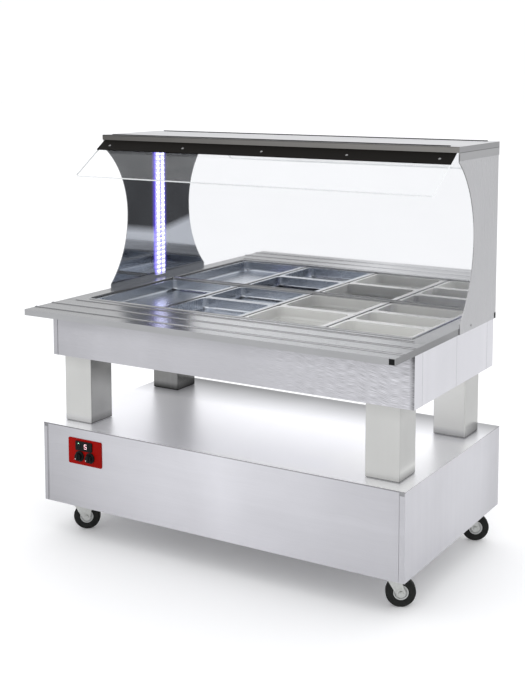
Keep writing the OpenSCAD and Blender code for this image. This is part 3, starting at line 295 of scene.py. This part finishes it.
def cabinet_finish():
    """The cabinet's sheet: lavender grey, brushed, with combed waves at the tank's front right, and
    painted light and shade from the room.
    """
    comb_x, comb_soft = 0.34, 0.26
    painted_highlight_x, bright_reach = 0.05, 1 / 1.5
    seam_x = -0.728
    tank_seam_shift = 6 * mm
    f = Finish("cabinet sheet", (0.565, 0.562, 0.590), metallic=1.0)
    side = f.turned(X)
    front = f.turned(Y, way=-1)
    upright = f.turned(Y)
    tank = f.z.above((plinth_top + leg_head) / 2, 0.05)
    plinth = 1 - tank

    # Scratches, a coarser comb of them that leans, broad bands and clouds.
    across = f.z * upright + f.y * (1 - upright)
    along = f.x * (1 - side) + f.z * side
    bow = f.noise(f.point(f.x * 5, 0.0, f.z * 2), 1.0, 2.0, 0.5) * 0.05
    fine = f.brushing(along, across + bow)
    comb = f.noise(f.point(along * 26, 0.0, (across + along * 0.12 + bow) * 900), 1.0, 1.0, 0.5)
    band = f.noise(f.point(along * 0.7, 0.0, across * 30), 1.0, 2.0, 0.5)
    clouds = f.noise(f.where, 2.2, 3.0, 0.55, 0.4)
    right = front * tank * f.x.above(comb_x, comb_soft)
    combed = 0.06 + front * tank * 0.10 + right * 1.7

    # Light and shade that the room throws on the front and the sides.
    middle = (1 - abs(f.x - painted_highlight_x) / bright_reach) * front * plinth
    shadow = f.z.above(lip_low - 40 * mm, 0.044) * 0.28 + f.z.above(lip_low - 12 * mm, 0.016) * 0.30
    under_lip = front * shadow * f.x.above(-0.72, 0.10)
    left_end = front * (1 - f.x.above(-0.62, 0.10)) * (0.06 + tank * 0.06)
    right_end = front * tank * f.x.above(0.731, 0.007)
    far_end = side * plinth * f.y.above(0.34, 0.08)

    # The joints' dark lines: under the deck's edge, and beside the left corner's fold.
    top_line = front * plinth * f.z.above(front_panel_top - 2.6 * mm, 0.5 * mm)
    seam = front * (f.x - tank * tank_seam_shift).near(seam_x, 2.22 * mm)

    # Painted light on the side faces and on the combed right, and a little painted shade on the tank's
    # front.
    tone = (0.95 + fine.swing(0.10) + comb.swing(1.0) * combed + band.swing(0.10) + clouds.swing(0.30)
            + middle * 0.34 + right * 0.14 + side * 0.10 + side * tank * 0.14 - front * tank * 0.03
            - under_lip - left_end - right_end * 0.5 - far_end * 0.12 - top_line * 0.5 - seam * 0.6)
    f.set("Base Color", f.shade(f.colour, tone))
    f.set("Roughness", 0.30 + fine.swing(0.08) + clouds.swing(0.06))
    f.sheet_relief(0.5, comb * combed * 0.12)
    return f


def leg_finish():
    """Polished square tube, faintly warm, with painted shade low down, where it meets the deck and at its
    head, on faces turned right on the left legs and outward on the right legs, and on the left rear leg;
    a little painted light on the right rear leg.
    """
    f = Finish("polished leg tube", (0.56, 0.56, 0.545), metallic=1.0)
    run = f.noise(f.point(f.x * 300, f.y * 300, f.z * 3), 1.0, 2.0, 0.6)
    clouds = f.noise(f.where, 7.0, 2.0)
    # Painted shade at the foot, where the tube meets the deck, and at the head under the tank.
    foot = 1 - f.z.above(plinth_top + 17 * mm, 0.014)
    painted_contact_shade = 1 - f.z.above(plinth_top + 3.3 * mm, 0.8 * mm)
    head = f.z.above(leg_head - 24 * mm, 0.022)
    upper = f.z.above(0.54, 0.12)
    right_leg = f.x.above(0.0, 0.1)
    left_leg = 1 - right_leg
    rear_leg = f.y.above(0.1, 0.1)
    right_face = f.turned(X, way=1)
    # Painted shade on faces turned right on the left legs, on the right legs' outer faces and on the left
    # rear leg's faces in view; a little painted light on the right rear leg.
    painted_inner_shade = right_face * left_leg
    outer = right_face * right_leg
    front_or_right_face = (f.facing[X] - f.facing[Y]).above(0.3, 0.2)
    shaded = front_or_right_face * left_leg * rear_leg
    painted_rear_right_light = right_leg * rear_leg * (1 - outer)
    tone = (1.0 + run.swing(0.08) + clouds.swing(0.16)
            - foot * (0.3 + outer * 0.24) - painted_contact_shade * 0.45 - head * 0.12
            - painted_inner_shade * (0.34 + upper * 0.26) - shaded * 0.64 * (1 - painted_inner_shade * 0.5)
            + painted_rear_right_light * 0.08 - outer * 0.16)
    f.set("Base Color", f.shade(f.colour, tone))
    f.set("Roughness", 0.16 + run.swing(0.08) + clouds.swing(0.06))
    f.relief(run, 0.15, 0.6 * mm)
    return f


def side_panel_finish():
    """Brushed outside; inside a mirror painted nearly black as a painted dark reflection, lighter at the
    rear and low down as painted reflections, and a violet glow beside the light strip as painted light.
    """
    # The mirror's colour is set nearly black: a painted dark reflection.
    painted_dark_reflection = (0.045, 0.047, 0.051, 1)
    violet = (0.12, 0.08, 0.72, 1)
    f = Finish("side panel steel", (0.44, 0.44, 0.45), metallic=1.0)
    inside = 1 - (f.x * f.facing[X]).above(-0.3, 0.02)
    fine = f.brushing(f.z, f.y, pitch=400, stretch=2.0)
    clouds = f.noise(f.where, 3.2, 3.0, 0.55, 0.5)
    outer = f.shade(f.colour, 1.0 + fine.swing(0.08) + clouds.swing(0.2))
    # Painted reflections: lighter at the rear and much lighter low down.
    rear = f.y.above(0.365, 0.012)
    low = 1 - (f.z + f.y * 0.16).above(1.126, 0.018)
    polished = f.shade(painted_dark_reflection, 1.0 + clouds.swing(1.0) + rear * 1.2 + low * 9.5)
    # A violet glow on the steel beside the strip: painted light from the strip.
    painted_strip_glow = inside * f.y.near(strip_low.y, 26.3 * mm) * f.z.above(0.9, 0.01)
    f.set("Emission Color", f.shade(violet, painted_strip_glow * painted_strip_glow))
    f.set("Emission Strength", 1.1)
    f.set("Base Color", f.blend(inside, outer, polished))
    f.set("Roughness", 0.27 + fine.swing(0.08) - inside * 0.21)
    f.relief(f.noise(f.where, 3.0, 1.0) + fine * 0.02, 0.12, 4 * mm)
    return f


def shelf_finish():
    """Satin sheet on top; a darker lip along the front, lighter towards the right and at the ends, and
    painted shade along the ends' fold.
    """
    warm = (0.62, 0.60, 0.57, 1)
    fold_z = 1.4665
    rim_z = 1.4840
    rim_y = 0.078
    f = Finish("shelf sheet and lip", (0.59, 0.59, 0.60), metallic=1.0)
    top = f.facing[Z].above(0.6, 0.1)
    end = f.turned(X)
    lip = (1 - top) * (1 - end)
    fold = end * f.z.above(fold_z, 0.8 * mm)
    # Painted shade along the fold of the ends.
    painted_crease_shade = end * (1 - abs(f.z - fold_z).above(1.2 * mm, 0.4 * mm))
    rim = lip * f.z.above(rim_z, 0.6 * mm) + top * (1 - f.y.above(rim_y, 1.5 * mm))
    fine = f.noise(f.point(f.x * 2.5, f.y * 380, f.z * 380), 1.0, 3.0, 0.6)
    clouds = f.noise(f.where, 3.5, 3.0)
    lip_darkening = 0.80 - (f.x + half_len) * 0.15
    shade = 1 - lip * lip_darkening - end * 0.42 - fold * 0.12 - painted_crease_shade * 0.3 - rim * 0.12
    tone = (1.0 + fine.swing(0.1) + clouds.swing(0.16)) * shade
    f.set("Base Color", f.shade(f.blend(lip, f.colour, warm), tone))
    f.set("Roughness", 0.34 + fine.swing(0.08) + clouds.swing(0.05))
    f.relief(fine, 0.1, 0.5 * mm)
    return f


def mirror_finish():
    """Mirror-polished in front, with a trace of haze and hardly a wave; brushed satin at the back."""
    f = Finish("mirror sheet", (0.93, 0.935, 0.945), metallic=1.0)
    back = f.turned(Y, way=1)
    haze = f.noise(f.where, 2.2, 4.0, 0.6, 0.8)
    fine = f.brushing(f.x, f.z)
    satin_tone = 0.40 + haze.swing(0.3) + fine.swing(0.12)
    f.set("Base Color", f.shade(f.colour, 0.97 + haze * 0.05 - back * satin_tone))
    f.set("Roughness", 0.015 + haze * 0.04 + back * (0.27 + fine.swing(0.1)))
    f.relief(f.noise(f.where, 2.0, 1.0), 0.05, 3 * mm)
    return f


def guard_finish():
    """Clear toughened sheet: the faces only mirror a little, the ground edges are bright."""
    slant = math.radians(34)
    bright = (0.96, 0.98, 0.98, 1)
    f = Finish("clear guard", (0.95, 0.96, 0.97), roughness=0.03)
    face = abs(-math.sin(slant) * f.facing[Y] + math.cos(slant) * f.facing[Z])
    edge = 1 - face.above(0.85, 0.05)
    tilt = f.node("ShaderNodeLayerWeight", sockets={"Blend": 0.5}, out="Facing")
    film = f.noise(f.point(f.x * 5, f.y * 14, f.z * 14), 1.0, 4.0, 0.6, 0.6)
    gloss = 0.03 + tilt.maths("POWER", 5.0) * 0.55 + film.above(0.6, 0.12) * 0.012
    f.set("Alpha", gloss * (1 - edge) + edge)
    f.set("Metallic", 1 - edge)
    f.set("Base Color", f.blend(edge, f.colour, bright))
    f.set("Roughness", 0.02 + film * 0.03 + edge * 0.3)
    return f


def red_finish():
    """Deep red enamel with a slow flow in its gloss and a fine orange-peel skin."""
    dark_side_x = -0.50
    f = Finish("red enamel", (0.34, 0.004, 0.002), specular_ior_level=0.05)
    flow = f.noise(f.where, 9.0, 2.0)
    peel = f.noise(f.where, 900.0, 1.0)
    dark_side = f.x.above(dark_side_x, 0.03)
    f.set("Base Color", f.shade(f.colour, 0.9 + flow * 0.3 - dark_side * 0.2))
    f.set("Roughness", 0.34 + flow.swing(0.12))
    f.relief(peel, 0.12, 0.4 * mm)
    return f


def grained(name, tint, rough, grain=700.0, wear=0.35, coat=0.0, gloss=0.5):
    """Moulded plastic, rubber or lacquer with a fine skin and a little handling wear."""
    f = Finish(name, tint, coat_weight=coat, specular_ior_level=gloss)
    skin = f.noise(f.where, grain, 2.0, 0.6)
    handled = f.noise(f.where, 22.0, 3.0, 0.6, 0.5)
    f.set("Base Color", f.shade(f.colour, 1.0 + handled.swing(2 * wear) + skin.swing(0.3)))
    f.set("Roughness", rough + handled.swing(0.22) + skin.swing(0.1))
    f.relief(skin, 0.25, 0.6 * mm)
    return f


def tyre_finish():
    """Black rubber, dusty in patches and where it meets the floor."""
    dusty = (0.05, 0.05, 0.046, 1)
    f = Finish("tyre rubber", (0.009, 0.010, 0.009), specular_ior_level=0.25)
    dust = f.noise(f.where, 60.0, 4.0, 0.65, 0.5)
    skin = f.noise(f.where, 900.0, 2.0)
    tread = 1 - f.z.above(12 * mm, 10 * mm)
    f.set("Base Color", f.blend(dust.above(0.55, 0.14) * 0.3 + tread * 0.2, f.colour, dusty))
    f.set("Roughness", 0.55 + dust * 0.25)
    f.relief(skin, 0.3, 0.6 * mm)
    return f


def zinc_finish():
    """Zinc-plated pressing with its faint cloudy spangle."""
    f = Finish("zinc plate", (0.60, 0.61, 0.59), metallic=1.0)
    spangle = f.cells(160.0)
    clouds = f.noise(f.where, 40.0, 4.0, 0.6, 0.6)
    f.set("Base Color", f.shade(f.colour, 0.86 + spangle * 0.14 + clouds.swing(0.28)))
    f.set("Roughness", 0.34 + clouds.swing(0.2))
    f.relief(clouds + spangle * 0.3, 0.15, 0.8 * mm)
    return f


def glaze_finish():
    """White glazed pan: a little darker low in the pan, glossy, with a slow waviness."""
    low_glaze_tone = (0.72, 0.72, 0.70, 1)
    f = Finish("white glaze", (0.80, 0.80, 0.78), coat_weight=0.8, coat_roughness=0.04, ior=1.5)
    flow = f.noise(f.where, 14.0, 2.0)
    hollow = 1 - f.z.above(worktop_z - 25 * mm, 0.02)
    f.set("Base Color", f.shade(f.blend(hollow, f.colour, low_glaze_tone), 0.97 + flow * 0.06))
    f.set("Roughness", 0.16 + flow * 0.06)
    f.relief(flow, 0.1, 2 * mm)
    return f


def strip_finish():
    """Lit diffuser: cool white, violet at its long edges, darker between one light and the next."""
    violet = (0.30, 0.26, 0.98, 1)
    white = (0.88, 0.90, 1.0, 1)
    lights_per_metre = 52.0
    f = Finish("light diffuser", (0.86, 0.88, 0.96))
    frost = f.noise(f.where, 500.0, 2.0)
    middle = f.y.near(strip_y, (strip_high.y - strip_low.y) / 2).above(0.42, 0.25)
    between = abs((f.z * lights_per_metre).maths("FRACT") - 0.5).above(0.36, 0.06)
    f.set("Base Color", f.shade(f.colour, 0.92 + frost * 0.1))
    f.set("Roughness", 0.35 + frost * 0.2)
    f.set("Emission Color", f.shade(f.blend(middle, violet, white), 1 - between * 0.55))
    f.set("Emission Strength", 1.05)
    return f


def glow(name, colour, strength):
    """A lit lens, brighter at some spots than others."""
    f = Finish(name, colour, roughness=0.3, emission_strength=strength)
    spot = f.noise(f.where, 260.0, 2.0)
    f.set("Emission Color", f.shade(f.colour, 0.85 + spot * 0.3))
    f.set("Base Color", f.shade(f.colour, 0.9 + spot * 0.1))
    return f


def copper_finish():
    """Drawn copper pipe, tarnished brown in patches."""
    brown = (0.30, 0.15, 0.10, 1)
    f = Finish("drawn copper", (0.72, 0.36, 0.22), metallic=1.0)
    tarnish = f.noise(f.where, 30.0, 4.0, 0.6, 0.6)
    f.set("Base Color", f.blend(tarnish.above(0.52, 0.2) * 0.6, f.colour, brown))
    f.set("Roughness", 0.28 + tarnish * 0.25)
    return f


def foam_finish():
    """Poured foam with its open cells."""
    f = Finish("insulating foam", (0.80, 0.70, 0.40))
    cell = f.cells(420.0)
    f.set("Base Color", f.shade(f.colour, 0.8 + cell * 0.4))
    f.set("Roughness", 0.85 + cell * 0.1)
    f.relief(cell, 0.5, 1.5 * mm)
    return f


finishes = {
    "stainless": cabinet_finish(),
    "worktop_steel": worktop_finish(),
    "deck_steel": deck_finish(),
    "pan_steel": rolled("pressed pan", (0.55, 0.58, 0.63), 0.26, grain=0.03, cloud=0.08),
    "leg_steel": leg_finish(),
    "panel_steel": side_panel_finish(),
    "shelf_steel": shelf_finish(),
    "mirror_steel": mirror_finish(),
    "zinc": zinc_finish(),
    "screw_steel": rolled("dull screw", (0.22, 0.22, 0.22), 0.22, grain=0.02, cloud=0.03),
    "copper": copper_finish(),
    "fins": rolled("aluminium fin", (0.72, 0.73, 0.74), 0.36, grain=0.06),
    "black_paint": grained("black lacquer", (0.008, 0.007, 0.006), 0.5, grain=500.0, gloss=0.04),
    "red_paint": red_finish(),
    "black_plastic": grained("black moulding", (0.005, 0.006, 0.006), 0.46, gloss=0.14),
    "pedal_plastic": grained("pedal moulding", (0.016, 0.016, 0.016), 0.48),
    "grey_plastic": grained("grey moulding", (0.56, 0.57, 0.56), 0.36, grain=300.0, wear=0.12, coat=0.2),
    "white_plastic": strip_finish(),
    "foam": foam_finish(),
    "porcelain": glaze_finish(),
    "guard_glass": guard_finish(),
    "strip_rubber": grained("shelf strip rubber", (0.014, 0.014, 0.014), 0.55),
    "tyre_rubber": tyre_finish(),
}

for node in nodes.values():
    for place in node.material_slots:
        place.material = finishes[place.material.name.split(".")[0]].material


# ---------------------------------------------------------------- modelling by hand

def settle(name):
    """Names the active piece, and puts its place into its mesh."""
    piece = bpy.context.object
    piece.name = piece.data.name = name
    bpy.ops.object.transform_apply(location=True, rotation=True, scale=True)
    return piece


def clear_bench():
    bpy.ops.object.select_all(action="DESELECT")


def pick(piece, wanted):
    """Goes into edit mode with only the wanted faces selected."""
    bpy.context.view_layer.objects.active = piece
    bpy.ops.object.mode_set(mode="EDIT")
    bpy.ops.mesh.select_mode(type="FACE")
    bpy.ops.mesh.select_all(action="DESELECT")
    bpy.ops.object.mode_set(mode="OBJECT")
    for face in piece.data.polygons:
        face.select = bool(wanted(face))
    bpy.ops.object.mode_set(mode="EDIT")


def done():
    bpy.ops.object.mode_set(mode="OBJECT")


def block(size):
    """A plain box to start from."""
    clear_bench()
    bpy.ops.mesh.primitive_cube_add(size=1)
    piece = bpy.context.object
    piece.scale = size
    bpy.ops.object.transform_apply(scale=True)
    return piece


def round_edges(piece, width, segments=2):
    bevel = piece.modifiers.new("edges", "BEVEL")
    bevel.width, bevel.segments = width, segments
    bevel.limit_method, bevel.angle_limit = "ANGLE", math.radians(40)
    bpy.ops.object.modifier_apply(modifier=bevel.name)


def join(pieces, name):
    clear_bench()
    for piece in pieces:
        piece.select_set(True)
    bpy.context.view_layer.objects.active = pieces[0]
    bpy.ops.object.join()
    return settle(name)


def repeat(piece, places):
    """Copies the piece, each with its own mesh, to the places, and joins them into one."""
    copies = [piece]
    for place in places[1:]:
        copy = piece.copy()
        copy.data = piece.data.copy()
        copy.location = [b - a for a, b in zip(places[0], place)]
        bpy.context.collection.objects.link(copy)
        copies.append(copy)
    return join(copies, piece.name)


def dress(piece, finish, body="cabinet"):
    """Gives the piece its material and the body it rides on."""
    piece.data.materials.clear()
    piece.data.materials.append(finish.material)
    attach(piece, body)
    return piece


def hand(side):
    return "right" if side > 0 else "left"


def button(name, at, radius, height, way=0, sides=16):
    """A low round head with a stepped, domed crown. It faces the front, or with way 1 or -1 along X."""
    crown = height * 0.4
    clear_bench()
    bpy.ops.mesh.primitive_cylinder_add(vertices=sides, radius=radius, depth=height)
    piece = bpy.context.object
    pick(piece, lambda face: face.normal.z > 0.9)
    bpy.ops.mesh.inset(thickness=radius * 0.22)
    bpy.ops.transform.translate(value=(0, 0, crown * 0.5))
    bpy.ops.mesh.inset(thickness=radius * 0.3)
    bpy.ops.transform.translate(value=(0, 0, crown * 0.35))
    done()
    bpy.ops.object.shade_smooth_by_angle(angle=math.radians(50))
    piece.rotation_euler = (0, way * math.pi / 2, 0) if way else (math.pi / 2, 0, 0)
    piece.location = at
    return settle(name)


def light_chips(side, finish):
    """Two columns of small lit chips along one light strip."""
    rows = 30
    end_gap = 15 * mm
    off_middle = 6.5 * mm
    face_x = side * (strip_high.x - strip_thick - 0.4 * mm)
    first_z = strip_low.z + end_gap
    pitch = (strip_high.z - strip_low.z - 2 * end_gap) / (rows - 1)
    spots = [(face_x, strip_y + column * off_middle, first_z + row * pitch)
             for row in range(rows) for column in (-1, 1)]
    chip = button("light_chips_" + hand(side), spots[0], 2.6 * mm, 0.9 * mm, -side, sides=10)
    return dress(repeat(chip, spots), finish)


def display_digit(centre, finish):
    """The lit bars of a plain figure on the thermostat's display."""
    bar, half_h, half_w = 1.2 * mm, 8.0 * mm, 5.2 * mm
    between_bars = 0.5 * mm
    lean = 0.1
    level, upright = 0, 1
    parts = []
    for turn, dx, dz in ((level, 0, half_h), (level, 0, 0), (level, 0, -half_h),
                         (upright, -half_w, half_h / 2), (upright, half_w, -half_h / 2)):
        length = (half_h if turn == upright else 2 * half_w) - between_bars
        piece = block((length, 0.4 * mm, bar))
        for end in (-1, 1):
            pick(piece, lambda face: face.normal.x * end > 0.9)
            bpy.ops.mesh.extrude_region_move(TRANSFORM_OT_translate={"value": (end * bar * 0.3, 0, 0)})
            bpy.ops.transform.resize(value=(1, 1, 0.35), center_override=(0, 0, 0))
            done()
        round_edges(piece, 0.08 * mm, segments=1)
        piece.rotation_euler = (0, turn * math.pi / 2, 0)
        piece.location = (centre[0] + dx + dz * lean, centre[1], centre[2] + dz)
        parts.append(settle("display_digit"))
    return dress(join(parts, "display_digit"), finish)


def end_cap(side):
    """Black moulded stop that closes the worktop lip behind each side panel."""
    piece = block((0.9 * mm, 12 * mm, 20 * mm))
    pick(piece, lambda face: face.normal.x * side > 0.9)
    bpy.ops.mesh.inset(thickness=1.6 * mm)
    bpy.ops.transform.translate(value=(side * 0.35 * mm, 0, 0))
    done()
    round_edges(piece, 0.25 * mm)
    piece.location = (side * (side_face + 0.45 * mm), 0.3752, lip_middle)
    return settle("lip_end_" + hand(side))


def notch_shadow_block():
    """Black block in the notch at the right end of the worktop's front lip, put in for the shadow inside
    the open lip end: painted shade.
    """
    piece = block((19.2 * mm, 18 * mm, 18.2 * mm))
    pick(piece, lambda face: face.normal.y < -0.9)
    bpy.ops.mesh.inset(thickness=2.2 * mm)
    bpy.ops.transform.translate(value=(0, 0.5 * mm, 0))
    done()
    round_edges(piece, 0.6 * mm)
    piece.location = (0.734, -0.4506, lip_middle)
    return settle("notch_shadow_block")


def panel_screw(side):
    """The screw head low on each side panel."""
    place = (side * (side_face + 0.3 * mm), 0.146, 0.864)
    return button("panel_screw_" + hand(side), place, 4.2 * mm, 0.8 * mm, side, sides=24)


def cooling_lamp():
    """The small lamp at the upper left of the display."""
    return button("cooling_lamp", (-0.5725, display_face - 0.2 * mm, 0.3705), 1.5 * mm, 0.9 * mm)


def set_button(number, x, z):
    """One of the three buttons left of the display's figure."""
    place = (x, display_face - 0.3 * mm, z)
    return button("set_button_%d" % number, place, 3.0 * mm, 1.0 * mm, sides=24)


def knob_mark(which):
    """The white mark, low on the left of a knob's front face."""
    low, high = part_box("knob_" + which)
    middle = (low + high) / 2
    face_y = low.y + 3 * mm
    reach = 9.5 * mm * math.sqrt(0.5)
    place = (middle.x - reach, face_y - 0.2 * mm, middle.z - reach)
    return button("knob_mark_" + which, place, 2.6 * mm, 1.2 * mm)


chip_light = glow("lit chip", (0.82, 0.84, 1.0), 7.0)
figure_light = glow("display light", (1.0, 0.62, 0.68), 2.3)
lamp_light = glow("indicator light", (0.40, 1.0, 0.62), 2.2)
mark_white = grained("white mark", (0.82, 0.82, 0.78), 0.4, wear=0.08)
black = finishes["black_plastic"]

for side in (-1, 1):
    light_chips(side, chip_light)
    dress(end_cap(side), black)
    dress(panel_screw(side), finishes["screw_steel"])

# A black block standing in for shadow in the lip's notch: painted shade.
dress(notch_shadow_block(), black)
display_digit((-0.5415, display_face + 0.6 * mm, 0.361), figure_light)
dress(cooling_lamp(), lamp_light)
for number, x, z in ((1, -0.5810, 0.3530), (2, -0.5705, 0.3530), (3, -0.5810, 0.3640)):
    dress(set_button(number, x, z), black)
for which in ("left", "right"):
    dress(knob_mark(which), mark_white, body="dial_" + which)


# ---------------------------------------------------------------- studio

def studio_light():
    """A pale room, lighter overhead and at the right behind, darker at the right in front."""
    slant_x, slant_y = 0.51, 0.85
    world = bpy.data.worlds.new("studio")
    bpy.context.scene.world = world
    world.use_nodes = True
    sky = Bench(world.node_tree)
    back = world.node_tree.nodes["Background"]
    dx, dy, dz = sky.axes(sky.node("ShaderNodeTexCoord", out="Generated"))
    seen = sky.node("ShaderNodeLightPath", out="Is Camera Ray")
    right_back = (dx * slant_x + dy * slant_y).above(0.55, 0.4)
    right_front = (dx * slant_x - dy * slant_y).above(0.55, 0.4)
    left_back = (dy * slant_y - dx * slant_x).above(0.55, 0.4)
    overhead = dz.above(0.45, 0.3)
    walls = right_back * 0.22 - right_front * 0.35 + left_back * 0.02
    lit = 0.86 + overhead * 0.30 + walls * (1 - overhead)
    sky.plug(back.inputs["Color"], (0.985, 0.99, 1.0, 1))
    sky.plug(back.inputs["Strength"], seen * 1.02 + (1 - seen) * lit)


def studio_floor():
    """A pale floor that the camera sees as bright as the room."""
    clear_bench()
    bpy.ops.mesh.primitive_circle_add(vertices=96, radius=60.0, fill_type="NGON",
                                      location=(0, 0, -0.5 * mm))
    floor = bpy.context.object
    floor.name = "floor"
    pale = Finish("pale floor", (0.95, 0.95, 0.955), roughness=0.7, emission_strength=0.12)
    direct = pale.node("ShaderNodeLightPath", out="Is Camera Ray")
    pale.set("Emission Color", pale.shade((1, 1, 1, 1), direct))
    pale.set("Base Color", pale.shade(pale.colour, 0.99 + pale.noise(pale.where, 1.5) * 0.02))
    floor.data.materials.append(pale.material)
    floor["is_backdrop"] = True


def softbox(name, at, aim, size, power):
    """A square lamp, turned to its aim."""
    lamp = bpy.data.lights.new(name, "AREA")
    lamp.shape, lamp.size, lamp.energy = "SQUARE", size, power
    holder = bpy.data.objects.new(name, lamp)
    bpy.context.collection.objects.link(holder)
    holder.location = at
    reach = [b - a for a, b in zip(at, aim)]
    flat = math.hypot(reach[X], reach[Y])
    holder.rotation_euler = (math.atan2(flat, -reach[Z]), 0, math.atan2(-reach[X], reach[Y]))


def camera():
    """The photo's camera, as fitted to the edges in it."""
    pitch, yaw = 6.35, 31.06
    lens = bpy.data.cameras.new("camera")
    holder = bpy.data.objects.new("camera", lens)
    bpy.context.collection.objects.link(holder)
    holder.location = (2.2641, -3.7134, 1.7362)
    holder.rotation_euler = (math.radians(90 - pitch), 0, math.radians(yaw))
    lens.sensor_width, lens.lens = 36.0, 61.97
    lens.shift_x, lens.shift_y = -0.01123, -0.2071
    bpy.context.scene.camera = holder
    bpy.context.scene.view_settings.view_transform = "Standard"


studio_light()
studio_floor()
softbox("overhead softbox", (0.4, -0.8, 4.2), (0, 0, 0.6), size=3.2, power=14)
softbox("front softbox", (-2.6, -3.4, 2.6), (0, 0, 0.7), size=2.4, power=6)
camera()


def plain(value):
    return [plain(v) for v in value] if hasattr(value, "__len__") else float(value)


{"cad": plain(cad_box), "visual": plain(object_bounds())}
